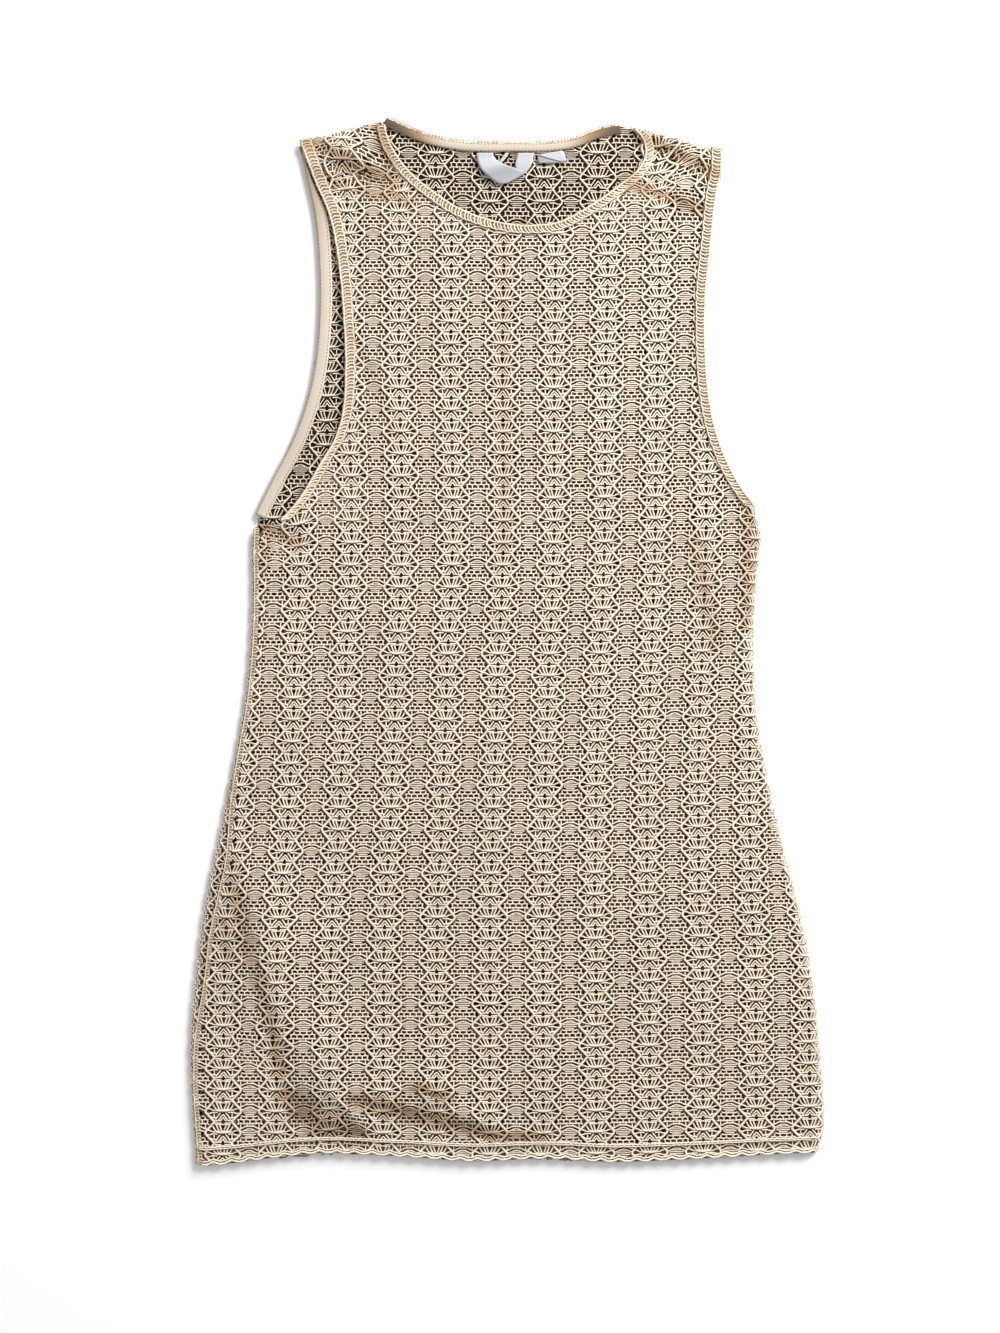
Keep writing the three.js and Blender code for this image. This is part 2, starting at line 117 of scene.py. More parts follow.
HEM_CHART = [
    (1.7, 0.2, False, [(0.12, 0.0), (0.04, 0.20), (0.05, 0.5), (0.18, 0.8), (0.12, 1.0)]),
    (1.2, 0.2, False, [(0.27, 0.0), (0.18, 0.25), (0.22, 0.55), (0.32, 0.8), (0.27, 1.0)]),
    (1.2, 0.5, False, [(0.90, 0.0), (0.95, 0.12), (0.90, 0.26)]),
    (1.2, 0.5, False, [(0.90, 0.22), (0.95, 0.36), (0.90, 0.51)]),
    (1.2, 0.5, False, [(0.90, 0.47), (0.95, 0.62), (0.90, 0.76)]),
    (1.2, 0.5, False, [(0.90, 0.72), (0.95, 0.86), (0.90, 1.0)]),
    (1.0, 0.3, False, [(0.83, 0.0), (0.82, 0.5), (0.83, 1.0)]),
]
STITCH_CHART = [
    (0.55, 0.25, False, [(0.10, 0.1), (0.10, 0.62)]),
    (0.55, 0.25, False, [(0.84, 0.3), (0.84, 0.82)]),
]

# ---------------------------------------------------------------- how the cloth lies
# Fan column 0 of the front: y, its x, and the spacing of the columns.
COLUMNS = [
    (-300, 25.9, 38.3),
    (-230, 25.9, 38.2),
    (-186, 25.2, 37.6),
    (-143, 26.6, 37.0),
    (-100, 27.4, 36.7),
    (-57, 28.8, 36.5),
    (-14, 30.2, 36.6),
    (29, 32.4, 36.4),
    (73, 33.8, 36.4),
    (116, 33.8, 36.5),
    (202, 33.8, 37.3),
    (245, 34.6, 37.4),
    (380, 36.0, 37.8),
]
# Heights of numbered fan rows at that column.
ROWS = [
    (-385.0, -24),
    (-338.4, -21),
    (-230.4, -14),
    (-9.4, 0),
    (134.6, 9),
    (261.4, 17),
    (388.0, 25),
]
# To the right of a place the rows rise a little.
ROW_RISE = 0.02
ROW_RISE_FROM = 34
# The back's even knit: x of column 0 and spacing of the columns, y of row 0 and spacing of the rows.
BACK_COLUMN = 26.6
BACK_SPACING = 39.0
BACK_ROW = 333.4
BACK_PITCH = 17.5
# The back's return round the left side: spacing, the column at the fold, and its rows against the front's.
RETURN_SPACING = 34.0
RETURN_COLUMN = -6.4
RETURN_ROW = 0.5
# The return's faces lie to the left of a line. A fold or seam is found left of another, at one height.
RETURN_FACES = -170
RETURN_INNER = -150
FOLD_MIDDLE = 1.75
FOLD_TOLERANCE = 0.1
# The front's right side is rolled below this height on the body.
ROLL_TOP = 82
# Faces count as level within this height.
FLAT_TOLERANCE = 0.2
# A face looks a way when its normal's part along it is more than this. Slopes of the bands and of the fold.
FACING = 0.5
BAND_FACING = 0.7
FOLD_FACING = 0.3
# The side seam's cord: its height, and its two edges beside the seam.
SEAM_HEIGHT = 3.0
SEAM_REACH = (-1.4, 2.2)
# The dark sheet of painted shade: how far inside the back's outline it stops, its height and its thickness.
SHADE_SHEET_INSET = 2.6
SHADE_SHEET_HEIGHT = 0.8
SHADE_SHEET_THICKNESS = 0.15

# The knit's pieces: name, first and last row. Then the first and last column of each panel.
FRONT_PIECES = [
    ("front_lace_lower", (-26, -9)),
    ("front_lace_middle", (-8, 7)),
    ("front_lace_upper", (8, 27)),
]
FRONT_COLUMNS = (-9, 7)
BACK_PIECES = [("back_lace_lower", (-42, -21)), ("back_lace_upper", (-20, 4))]
BACK_COLUMNS = (-8, 6)
RETURN_PIECES = [("back_return", (-26, 8))]
RETURN_COLUMNS = (-9, -5)

# The neck tape's share that the back's rim takes, and how far each tape runs on past its CAD node's ends.
RIM_SHARE = 0.26
NECK_TAPE_ENDS = (7.0, 5.0)
ARMHOLE_TAPE_ENDS = (5.0, 16.0)

# Bands: steps along, steps across, and crown and drop in mm.
SEAM_BAND = (120, 3, 0.0, -0.5)
SEAM_BACKING = (120, 3, 0.0, 0.0)
EDGE_BAND = (120, 6, 0.5, 0.3)
EDGE_BACKING = (60, 4, 0.2, 0.9)
HEM_BAND = (200, 6, 0.0, 0.4)
HEM_BACKING = (120, 4, 0.0, 2.4)
RIM_BAND = (120, 4, 0.3, 0.0)
TAPE_BAND = (120, 8, 0.5, 0.1)
BACKING_THICKNESS = 0.2
BAND_SAMPLES = 60
HEM_THICKNESS = 0.25
TAPE_THICKNESS = 0.8

# Yarn of the bands: width scale, sides, wobble and seed. Then the seeds of the panels.
SEAM_YARN = (0.9, 4, 0.06, 6)
EDGE_YARN = (1.15, 5, 0.11, 2)
HEM_YARN = (1.1, 5, 0.05, 4)
RIM_YARN = (1.0, 5, 0.04, 6)
FRONT_SEED = 3
BACK_SEED = 8
RETURN_SEED = 5

# Turned edges of the front, and the way that each one's free edge faces.
EDGES = {"neck_edge_front": (0, 1, 0), "armhole_edge_left": (-1, 0, 0), "armhole_edge_right": (1, 0, 0)}

# Places where the knit is pushed aside: x, y, reach, and the push in columns and rows.
SHIFTS = [
    (-122, 352, 34, 0.12, -0.42),
    (-86, 338, 26, -0.10, 0.34),
    (-132, 330, 20, 0.08, 0.25),
    (104, 340, 28, 0.12, 0.42),
    (140, 348, 24, -0.08, -0.36),
    (122, 320, 22, 0.06, -0.22),
    (-160, 78, 26, 0.05, 0.3),
    (-176, -290, 30, 0.10, 0.1),
    (-120, -345, 30, 0.0, -0.2),
]
# Soft creases of the front: from, to, rise, reach on the left of that direction, reach on the right.
CREASES = [
    (-195, -176, -162, -318, -1.6, 9, 14),
    (-160, -322, -104, -352, -1.5, 10, 8),
    (-111, -326, -62, -342, -1.5, 7, 9),
    (-66, -338, -6, -354, -1.5, 7, 9),
    (-128, -318, -100, -352, 1.4, 9, 9),
    (-77, -312, -6, -350, 1.2, 10, 12),
    (-4, 300, -2, 60, -0.7, 7, 7),
    (-113, 224, -82, 146, -0.8, 8, 8),
    (-178, 84, -140, 66, -1.2, 8, 8),
    (-140, 365, -88, 338, 1.8, 8, 8),
    (-128, 344, -84, 322, -1.6, 7, 7),
    (-150, 352, -108, 372, -1.2, 7, 6),
    (99, 361, 155, 332, -2.0, 6, 9),
    (88, 328, 139, 310, -1.6, 7, 8),
    (96, 345, 138, 326, 1.6, 8, 8),
    (140, 70, 134, -10, -0.8, 10, 10),
]
# Strokes of painted shade in the creases and folds: from, to, reach, amount (0.5 is golden brown, 1 is the
# darkest).
SHADES = [
    (-197, -160, -195, -183, 9, 0.34),
    (-195, -183, -188, -219, 11, 0.48),
    (-188, -219, -179, -248, 10, 0.46),
    (-179, -248, -168, -280, 8, 0.46),
    (-168, -280, -162, -312, 8, 0.56),
    (-205, -200, -200, -232, 5, 0.40),
    (-160, -326, -138, -338, 10, 0.85),
    (-152, -340, -104, -355, 10, 0.85),
    (-140, -352, -110, -358, 8, 0.55),
    (-111, -329, -65, -341, 8, 0.9),
    (-90, -339, -40, -350, 8, 0.5),
    (-64, -341, -9, -356, 8, 0.9),
    (-66, -320, -42, -328, 6, 0.85),
    (-9, -356, 26, -358, 8, 0.6),
    (-185, 86, -150, 70, 8, 0.6),
    (-170, 78, -178, 50, 7, 0.35),
    (134, 72, 150, 0, 11, 0.34),
    (174, 100, 172, 15, 10, 0.40),
    (-149, 360, -112, 346, 9, 0.55),
    (-120, 344, -80, 330, 10, 0.62),
    (-92, 368, -84, 340, 9, 0.58),
    (-104, 324, -70, 316, 8, 0.48),
    (-138, 338, -116, 326, 7, 0.40),
    (99, 361, 155, 334, 8, 0.66),
    (88, 328, 139, 311, 8, 0.55),
    (82, 352, 92, 330, 8, 0.50),
    (-4, 300, -2, 60, 7, 0.22),
    (-113, 224, -82, 146, 7, 0.20),
]
# Painted shade along the crease where the back's return meets the front.
RETURN_SHADES = [
    (-198, -100, -201, -165, 5, 0.35),
    (-201, -165, -214, -218, 5, 0.55),
    (-214, -218, -220, -271, 5, 0.6),
    (-220, -271, -224, -300, 5, 0.5),
]

# The back shows in the neck, above y and between two x, and in the left armhole, above y and left of x.
NECK_WINDOW = (299, -88, 102)
ARMHOLE_WINDOW = (84, -108)
# Painted shade of the back's yarn where the front covers it.
COVERED_SHADE = 0.9

# Cloth map: columns and rows are squeezed into one unit square.
MAP_ORIGIN = (9.0, 30.0)
MAP_SPAN = (18.0, 60.0)

# ---------------------------------------------------------------- labels
# Strips of ribbon: a row for each pair of border points, with their height and painted shade.
MAIN_LABEL = {
    "left_leg": [
        ((-22.0, 351.0), (-9.9, 351.0), 3.4, 0.2),
        ((-21.5, 346.0), (-9.9, 346.5), 3.6, 0.0),
        ((-19.8, 340.3), (-4.0, 343.6), 4.1, 0.05),
        ((-17.0, 336.5), (1.0, 341.6), 4.4, 0.35),
        ((-13.7, 333.8), (5.0, 340.3), 4.5, 0.45),
        ((-9.4, 329.9), (8.6, 339.0), 4.3, 0.40),
        ((-6.0, 328.3), (10.6, 338.3), 4.2, 0.36),
        ((-0.5, 328.5), (11.8, 338.0), 4.2, 0.34),
        ((5.0, 331.6), (12.3, 337.9), 4.1, 0.38),
        ((12.0, 335.6), (12.6, 337.6), 4.0, 0.45),
    ],
    "right_leg": [
        ((7.8, 351.0), (19.6, 351.0), 3.4, 0.1),
        ((6.2, 345.4), (18.7, 347.0), 3.4, 0.0),
        ((5.4, 341.2), (17.7, 342.0), 3.3, 0.05),
        ((6.8, 338.6), (15.5, 338.8), 3.2, 0.12),
        ((9.4, 336.4), (12.2, 335.5), 3.1, 0.2),
    ],
    "inner_fold": [
        ((-1.2, 351.0), (1.0, 351.0), 3.1, 0.1),
        ((-3.8, 347.2), (-2.0, 347.6), 3.1, 0.05),
        ((-6.4, 344.0), (-4.8, 344.6), 3.2, 0.1),
    ],
}
SIZE_LABEL = {
    "upper": [
        ((22.0, 349.6), (39.8, 352.6), 3.5, 0.05),
        ((22.2, 349.0), (41.4, 350.8), 3.6, 0.0),
        ((40.4, 344.4), (42.9, 344.6), 3.5, 0.05),
    ],
    "lower": [
        ((22.1, 349.2), (23.0, 349.4), 3.1, 0.35),
        ((22.1, 346.0), (32.0, 346.8), 3.1, 0.4),
        ((22.2, 343.8), (41.0, 343.8), 3.0, 0.3),
    ],
}
LABELS = {"main_label": MAIN_LABEL, "size_label": SIZE_LABEL}
LABEL_THICKNESS = 0.25

# Heights of the panels' upper faces.
FRONT_FACE = 3.5
BACK_FACE = 1.6

# ---------------------------------------------------------------- stage, in metres
FLOOR_REACH = 6.0
FLOOR_HEIGHT = -0.0006
# Lights: name, place, size and power.
LIGHTS = [
    ("key light", (1.2, 1.35, 1.0), 1.1, 81.0),
    ("fill light", (-1.2, -0.6, 1.8), 1.8, 8.0),
]
ROOM_LIGHT = 0.46
CAMERA_MIDDLE = (-0.00504, -0.0184)
CAMERA_HEIGHT = 2.2
VIEW_LENGTH = 0.96
SENSOR = 36.0


def colour(text):
    """A colour from its six hexadecimal digits, as linear red, green, blue and alpha."""
    values = [int(text[i : i + 2], 16) / 255 for i in (0, 2, 4)]
    linear = [v / 12.92 if v <= 0.04045 else ((v + 0.055) / 1.055) ** 2.4 for v in values]
    return (*linear, 1.0)


def scale_property(name, description, default):
    return bpy.props.FloatProperty(name=name, description=description, default=default, min=0.5, max=2)


def sides_property(name, description, default):
    return bpy.props.IntProperty(name=name, description=description, default=default, min=3, max=8)


def length_property(name, description, default):
    return bpy.props.FloatProperty(name=name, description=description, default=default, unit="LENGTH")


def colour_property(name, description, text):
    return bpy.props.FloatVectorProperty(
        name=name, description=description, subtype="COLOR", size=4, min=0, max=1, default=colour(text)
    )


class TopYarn(bpy.types.PropertyGroup):
    front_width: scale_property("Front yarn", "Width scale of the yarn of the front", 1.1)
    back_width: scale_property("Back yarn", "Width scale of the yarn of the back", 1.06)
    front_sides: sides_property("Front yarn sides", "Flat sides round the yarn of the front", 4)
    back_sides: sides_property("Back yarn sides", "Flat sides round the yarn of the back", 3)
    wobble: bpy.props.FloatProperty(
        name="Wobble", description="Unevenness of the knit, in repeats", default=0.03, min=0, max=0.2
    )
    edge_repeat: length_property("Edge repeat", "Length of one repeat of a turned edge", 0.0072)
    hem_repeat: length_property("Hem repeat", "Length of one wave of the hem", 0.0125)
    rim_repeat: length_property("Rim repeat", "Length of one repeat of the rim and the side seam", 0.0065)
    stitch_repeat: length_property("Stitch", "Length of one tape stitch", 0.0026)


class TopColours(bpy.types.PropertyGroup):
    # Cream, honey and brown paint light and shade across each yarn by how far it faces up: lit top,
    # half-shaded shoulder, shaded side.
    cream: colour_property("Cream yarn", "The lit top of the yarn", "F8ECDA")
    honey: colour_property("Honey yarn", "The yarn's shoulder", "D2BFA7")
    brown: colour_property("Brown yarn", "The yarn's shaded side", "6A4A37")
    # The dark sheet's colour is painted shade, for the dark between the yarns.
    ground: colour_property("Ground", "The dark between the yarns", "1E130C")
    # The turned cloth and the hem are real doubled cloth, coloured darker than the cream yarn as painted
    # shade.
    turned: colour_property("Turned cloth", "The doubled cloth of the turned edges", "AD9A80")
    hem: colour_property("Hem", "The shaded inside of the turned hem", "6B5744")
    tape: colour_property("Tape", "Jersey tape", "C6BBAB")
    thread: colour_property("Thread", "Stitches of the tapes", "8F7355")
    ribbon: colour_property("Ribbon", "Blank ribbon labels", "C9CACF")
    floor: colour_property("Floor", "Plain pale floor", "FAFAFA")


# ---------------------------------------------------------------- small helpers
def between(table, place):
    """Values of a table at a place along its first column, straight between its rows."""
    for low, high in zip(table, table[1:]):
        if place <= high[0]:
            break
    share = (place - low[0]) / (high[0] - low[0])
    return [a + (b - a) * share for a, b in zip(low[1:], high[1:])]


def falloff(distance):
    """1 at no distance and 0 from a distance of 1, with soft ends."""
    return 0.5 + 0.5 * math.cos(math.pi * min(1.0, abs(distance)))


def stroke(x, y, line):
    """How far along a line from 0 to 1 a place is, how far to its left in mm, and the line's length."""
    x0, y0, x1, y1 = line
    dx, dy = x1 - x0, y1 - y0
    length = math.hypot(dx, dy)
    along = ((x - x0) * dx + (y - y0) * dy) / (length * length)
    aside = (dx * (y - y0) - dy * (x - x0)) / length
    return along, aside, length


def crease_height(x, y):
    height = 0.0
    for x0, y0, x1, y1, rise, left, right in CREASES:
        along, aside, length = stroke(x, y, (x0, y0, x1, y1))
        if 0 < along < 1:
            reach = left if aside > 0 else right
            height += rise * math.sin(math.pi * along) ** 0.5 * falloff(aside / reach)
    return height


def shade_at(x, y, strokes):
    shade = 0.0
    for x0, y0, x1, y1, reach, amount in strokes:
        along, aside, length = stroke(x, y, (x0, y0, x1, y1))
        beyond = max(0.0, -along, along - 1) * length
        shade = max(shade, amount * falloff(math.hypot(aside, beyond) / reach))
    return shade


def shifted(x, y):
    """The push of the knit at a place, in columns and rows."""
    du = dv = 0.0
    for cx, cy, reach, push_u, push_v in SHIFTS:
        share = falloff(math.hypot(x - cx, y - cy) / reach)
        du += push_u * share
        dv += push_v * share
    return du, dv


# Painted shades by place, from 0 to 1.
def unshaded(x, y, z):
    return 0.0


def seam_shade(x, y, z):
    return 0.1


def front_shade(x, y, z):
    return shade_at(x, y, SHADES)


def edge_shade(x, y, z):
    return 0.16 + 0.7 * shade_at(x, y, SHADES)


def return_shade(x, y, z):
    return shade_at(x, y, RETURN_SHADES)


def back_shade(x, y, z):
    """Painted shade: deep under the front, none where the back shows."""
    in_neck = y > NECK_WINDOW[0] and NECK_WINDOW[1] < x < NECK_WINDOW[2]
    in_armhole = y > ARMHOLE_WINDOW[0] and x < ARMHOLE_WINDOW[1]
    return 0.0 if in_neck or in_armhole else COVERED_SHADE


def neck_tape_shade(x, y, z):
    """Painted shade: deep at both ends, where the tape turns down."""
    return 0.85 * max(falloff((x + 84) / 44), falloff((x - 82) / 46)) + 0.08


def armhole_tape_shade(x, y, z):
    """Painted shade: deep at the shoulder, and a little at the turn of the armhole."""
    return 0.45 * falloff((y - 372) / 110) + 0.06 * falloff((y - 140) / 50)


def rim_shade(x, y, z):
    return 0.4 * neck_tape_shade(x, y, z)


def front_cloth(x, y, z):
    """Column and row of the front's knit at a place. Down the rolled right side it goes on round the roll."""
    start, spacing = between(COLUMNS, y)
    rolled = max(0.0, FRONT_FACE - z) if x > 0 else 0.0
    row = between(ROWS, y - ROW_RISE * max(0.0, x - ROW_RISE_FROM))[0]
    du, dv = shifted(x, y)
    return (x + rolled - start) / spacing + du, row + dv


def back_cloth(x, y, z):
    return (x - BACK_COLUMN) / BACK_SPACING, (y - BACK_ROW) / BACK_PITCH


def return_cloth(fold):
    """Column and row of the back's return, unrolled from the fold's line."""

    def cloth(x, y, z):
        outside = between(fold, y)[0]
        unrolled = (x - outside) - (FRONT_FACE - z)
        row = between(ROWS, y)[0]
        return unrolled / RETURN_SPACING + RETURN_COLUMN, row + RETURN_ROW

    return cloth


def node_mesh(name):
    """A merged copy of a CAD node as a bmesh."""
    mesh = bmesh.new()
    mesh.from_mesh(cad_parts[name].data)
    bmesh.ops.remove_doubles(mesh, verts=mesh.verts, dist=1e-6)
    mesh.normal_update()
    return mesh


def keep_faces(mesh, wanted):
    dropped = [face for face in mesh.faces if not wanted(face)]
    bmesh.ops.delete(mesh, geom=dropped, context="FACES")


def new_object(name, mesh):
    piece = bpy.data.objects.new(name, mesh)
    bpy.context.scene.collection.objects.link(piece)
    return piece


def evaluated_mesh(piece):
    """The piece's mesh with its modifiers applied."""
    graph = bpy.context.evaluated_depsgraph_get()
    return bpy.data.meshes.new_from_object(piece.evaluated_get(graph))


def refined(name, mesh, levels):
    """The bmesh as a smooth object with its subdivision applied."""
    bmesh.ops.join_triangles(
        mesh, faces=mesh.faces, angle_face_threshold=math.radians(40), angle_shape_threshold=math.radians(60)
    )
    data = bpy.data.meshes.new(name)
    mesh.to_mesh(data)
    mesh.free()
    piece = new_object(name, data)
    modifier = piece.modifiers.new("Smooth", "SUBSURF")
    modifier.levels = modifier.render_levels = levels
    piece.data = evaluated_mesh(piece)
    piece.modifiers.clear()
    return piece


def write_maps(data, units, shades):
    """Gives a mesh its cloth map and its painted shade, from values for each vertex."""
    cloth_map = data.uv_layers.new(name=CLOTH)
    for loop in data.loops:
        cloth_map.data[loop.index].uv = units[loop.vertex_index]
    data.attributes.new(PAINTED_SHADE, "FLOAT", "POINT").data.foreach_set("value", shades)


def write_cloth(form, cloth, tone, height=None):
    """Gives a form its cloth map and painted shade by place, and raises it by its creases."""
    data = form.data
    places = [v.co / MM for v in data.vertices]
    if height:
        for vertex, (x, y, z) in zip(data.vertices, places):
            vertex.co.z += height(x, y) * MM
    units = [
        ((u + MAP_ORIGIN[0]) / MAP_SPAN[0], (v + MAP_ORIGIN[1]) / MAP_SPAN[1])
        for u, v in (cloth(*place) for place in places)
    ]
    write_maps(data, units, [tone(*place) for place in places])


def chart_object(name, chart):
    """A chart as an object of loose polylines."""
    points, edges, widths, lifts = [], [], [], []
    for width, lift, mirrored, line in chart:
        for side in (1, -1) if mirrored else (1,):
            first = len(points)
            points += [(side * u, v, 0.0) for u, v in line]
            edges += [(first + i, first + i + 1) for i in range(len(line) - 1)]
            widths += [width * MM] * len(line)
            lifts += [lift * MM] * len(line)
    data = bpy.data.meshes.new(name)
    data.from_pydata(points, edges, [])
    for label, values in ((WIDTH, widths), (LIFT, lifts)):
        data.attributes.new(label, "FLOAT", "POINT").data.foreach_set("value", values)
    return new_object(name, data)


# ---------------------------------------------------------------- the knit as Geometry Nodes
KNIT_INPUTS = [
    ("Chart", "NodeSocketObject", None),
    ("First column", "NodeSocketInt", 0),
    ("Columns", "NodeSocketInt", 1),
    ("First row", "NodeSocketInt", 0),
    ("Rows", "NodeSocketInt", 1),
    ("Map origin", "NodeSocketVector", (0.0, 0.0, 0.0)),
    ("Map scale", "NodeSocketVector", (1.0, 1.0, 1.0)),
    ("Yarn scale", "NodeSocketFloat", 1.0),
    ("Sides", "NodeSocketInt", 4),
    ("Wobble", "NodeSocketFloat", 0.0),
    ("Seed", "NodeSocketInt", 0),
    ("Material", "NodeSocketMaterial", None),
]


def new_node(tree, kind, inputs=(), **settings):
    """A node with its settings made, and each input linked to a socket or given a value."""
    made = tree.nodes.new(kind)
    for key, value in settings.items():
        setattr(made, key, value)
    for key, value in dict(inputs).items():
        if isinstance(value, bpy.types.NodeSocket):
            tree.links.new(value, made.inputs[key])
        else:
            made.inputs[key].default_value = value
    return made


def knit_tree():
    """Repeats a chart over a form's cloth map and makes yarn of its lines. Built once."""
    tree = bpy.data.node_groups.get(KNIT_TREE)
    if tree:
        return tree
    tree = bpy.data.node_groups.new(KNIT_TREE, "GeometryNodeTree")
    tree.interface.new_socket("Geometry", in_out="INPUT", socket_type="NodeSocketGeometry")
    for name, kind, default in KNIT_INPUTS:
        made = tree.interface.new_socket(name, in_out="INPUT", socket_type=kind)
        if default is not None:
            made.default_value = default
    tree.interface.new_socket("Geometry", in_out="OUTPUT", socket_type="NodeSocketGeometry")
    given = tree.nodes.new("NodeGroupInput").outputs

    def node(kind, inputs=(), **settings):
        return new_node(tree, kind, inputs, **settings).outputs

    def number(operation, *terms):
        return node("ShaderNodeMath", enumerate(terms), operation=operation)[0]

    def vector(operation, *terms):
        return node("ShaderNodeVectorMath", enumerate(terms), operation=operation)[0]

    def scaled(value, factor):
        return node("ShaderNodeVectorMath", {0: value, "Scale": factor}, operation="SCALE")[0]

    def combined(**axes):
        return node("ShaderNodeCombineXYZ", axes)[0]

    def attribute(name, kind="FLOAT"):
        return node("GeometryNodeInputNamedAttribute", {"Name": name}, data_type=kind)["Attribute"]

    def stored(geometry, name, value, kind, domain):
        inputs = {"Geometry": geometry, "Name": name, "Value": value}
        return node("GeometryNodeStoreNamedAttribute", inputs, data_type=kind, domain=domain)[0]

    # A grid of repeats, one unit apart.
    across = number("SUBTRACT", given["Columns"], 1.0)
    along = number("SUBTRACT", given["Rows"], 1.0)
    counts = {"Vertices X": given["Columns"], "Vertices Y": given["Rows"], "Size X": across, "Size Y": along}
    grid = node("GeometryNodeMeshGrid", counts)["Mesh"]
    middle = combined(
        X=number("ADD", given["First column"], number("MULTIPLY", across, 0.5)),
        Y=number("ADD", given["First row"], number("MULTIPLY", along, 0.5)),
    )
    placed = node("GeometryNodeTransform", {"Geometry": grid, "Translation": middle})[0]
    chart = node("GeometryNodeObjectInfo", {"Object": given["Chart"]})["Geometry"]
    repeats = node("GeometryNodeInstanceOnPoints", {"Points": placed, "Instance": chart})[0]
    lines = node("GeometryNodeRealizeInstances", {0: repeats})[0]

    # A little unevenness, then each point's place on the cloth map.
    position = node("GeometryNodeInputPosition")[0]
    seeded = vector("ADD", position, combined(Z=given["Seed"]))
    noise = node("ShaderNodeTexNoise", {"Vector": seeded, "Scale": 1.7, "Detail": 2.0})["Color"]
    centred = vector("SUBTRACT", noise, (0.5, 0.5, 0.5))
    wobble = vector("MULTIPLY", scaled(centred, given["Wobble"]), (1.0, 2.0, 0.0))
    uneven = node("GeometryNodeSetPosition", {"Geometry": lines, "Offset": wobble})[0]
    on_map = vector("MULTIPLY", vector("ADD", position, given["Map origin"]), given["Map scale"])
    cloth_map = attribute(CLOTH, "FLOAT_VECTOR")

    def sampled(kind, value):
        inputs = {"Mesh": given["Geometry"], "Value": value, "UV Map": cloth_map, "Sample UV": on_map}
        return node("GeometryNodeSampleUVSurface", inputs, data_type=kind)

    place = sampled("FLOAT_VECTOR", position)
    normal = sampled("FLOAT_VECTOR", node("GeometryNodeInputNormal")[0])["Value"]
    tone = sampled("FLOAT", attribute(PAINTED_SHADE))["Value"]
    outside = node("FunctionNodeBooleanMath", {0: place["Is Valid"]}, operation="NOT")[0]
    off_cloth = {"Geometry": uneven, "Selection": outside}
    clipped = node("GeometryNodeDeleteGeometry", off_cloth, domain="POINT")[0]
    with_painted_shade = stored(clipped, PAINTED_SHADE, tone, "FLOAT", "POINT")
    radius = number("MULTIPLY", number("MULTIPLY", attribute(WIDTH), given["Yarn scale"]), 0.5)
    sunk = number("SUBTRACT", attribute(LIFT), radius)
    on_cloth = vector("ADD", place["Value"], scaled(vector("NORMALIZE", normal), sunk))
    laid = node("GeometryNodeSetPosition", {"Geometry": with_painted_shade, "Position": on_cloth})[0]

    # Yarn round the lines.
    curve = node("GeometryNodeMeshToCurve", {"Mesh": laid})[0]
    upright = node("GeometryNodeSetCurveNormal", {"Curve": curve}, mode="Z_UP")[0]
    section = node("GeometryNodeCurvePrimitiveCircle", {"Radius": 1.0, "Resolution": given["Sides"]})["Curve"]
    tube = {"Curve": upright, "Profile Curve": section, "Scale": radius, "Fill Caps": True}
    smooth = node("GeometryNodeSetShadeSmooth", {"Geometry": node("GeometryNodeCurveToMesh", tube)[0]})[0]

    # The bake map: how far a face looks up, which the yarn's colour turns into painted light and shade, and
    # how deep in painted shade it lies.
    facing = node("ShaderNodeSeparateXYZ", {0: node("GeometryNodeInputNormal")[0]})["Z"]
    upward = number("MULTIPLY", number("ADD", facing, 1.0), 0.5)
    mapped = stored(smooth, BAKE_MAP, combined(X=upward, Y=attribute(PAINTED_SHADE)), "FLOAT2", "CORNER")
    finished = node("GeometryNodeSetMaterial", {"Geometry": mapped, "Material": given["Material"]})[0]
    whole = node("GeometryNodeRealizeInstances", {0: finished})[0]
    tree.links.new(whole, tree.nodes.new("NodeGroupOutput").inputs[0])
    return tree


def knitted(name, form, chart, columns, rows, **values):
    """A piece of yarn: the chart repeated over the form, from the first to the last column and row."""
    piece = new_object(name, form.data.copy())
    tree = knit_tree()
    modifier = piece.modifiers.new("Knit", "NODES")
    modifier.node_group = tree
    values = {
        "Chart": chart,
        "First column": columns[0],
        "Columns": columns[1] - columns[0] + 1,
        "First row": rows[0],
        "Rows": rows[1] - rows[0] + 1,
        **values,
    }
    for item in tree.interface.items_tree:
        if item.in_out == "INPUT" and item.name in values:
            modifier[item.identifier] = values[item.name]
    made = evaluated_mesh(piece)
    piece.modifiers.remove(modifier)
    piece.data = made
    piece.data.name = name
    if not made.polygons:
        raise RuntimeError(f"{name} came out empty")
    return piece


LACE_MAP = {
    "Map origin": (*MAP_ORIGIN, 0.0),
    "Map scale": (1 / MAP_SPAN[0], 1 / MAP_SPAN[1], 1.0),
}


def belongs(piece, nodes):
    """Puts a piece on the body, in place of its CAD nodes."""
    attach(piece, "root")
    if nodes:
        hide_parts(*nodes)
    return piece


def discard(*objects):
    for item in objects:
        bpy.data.objects.remove(item)


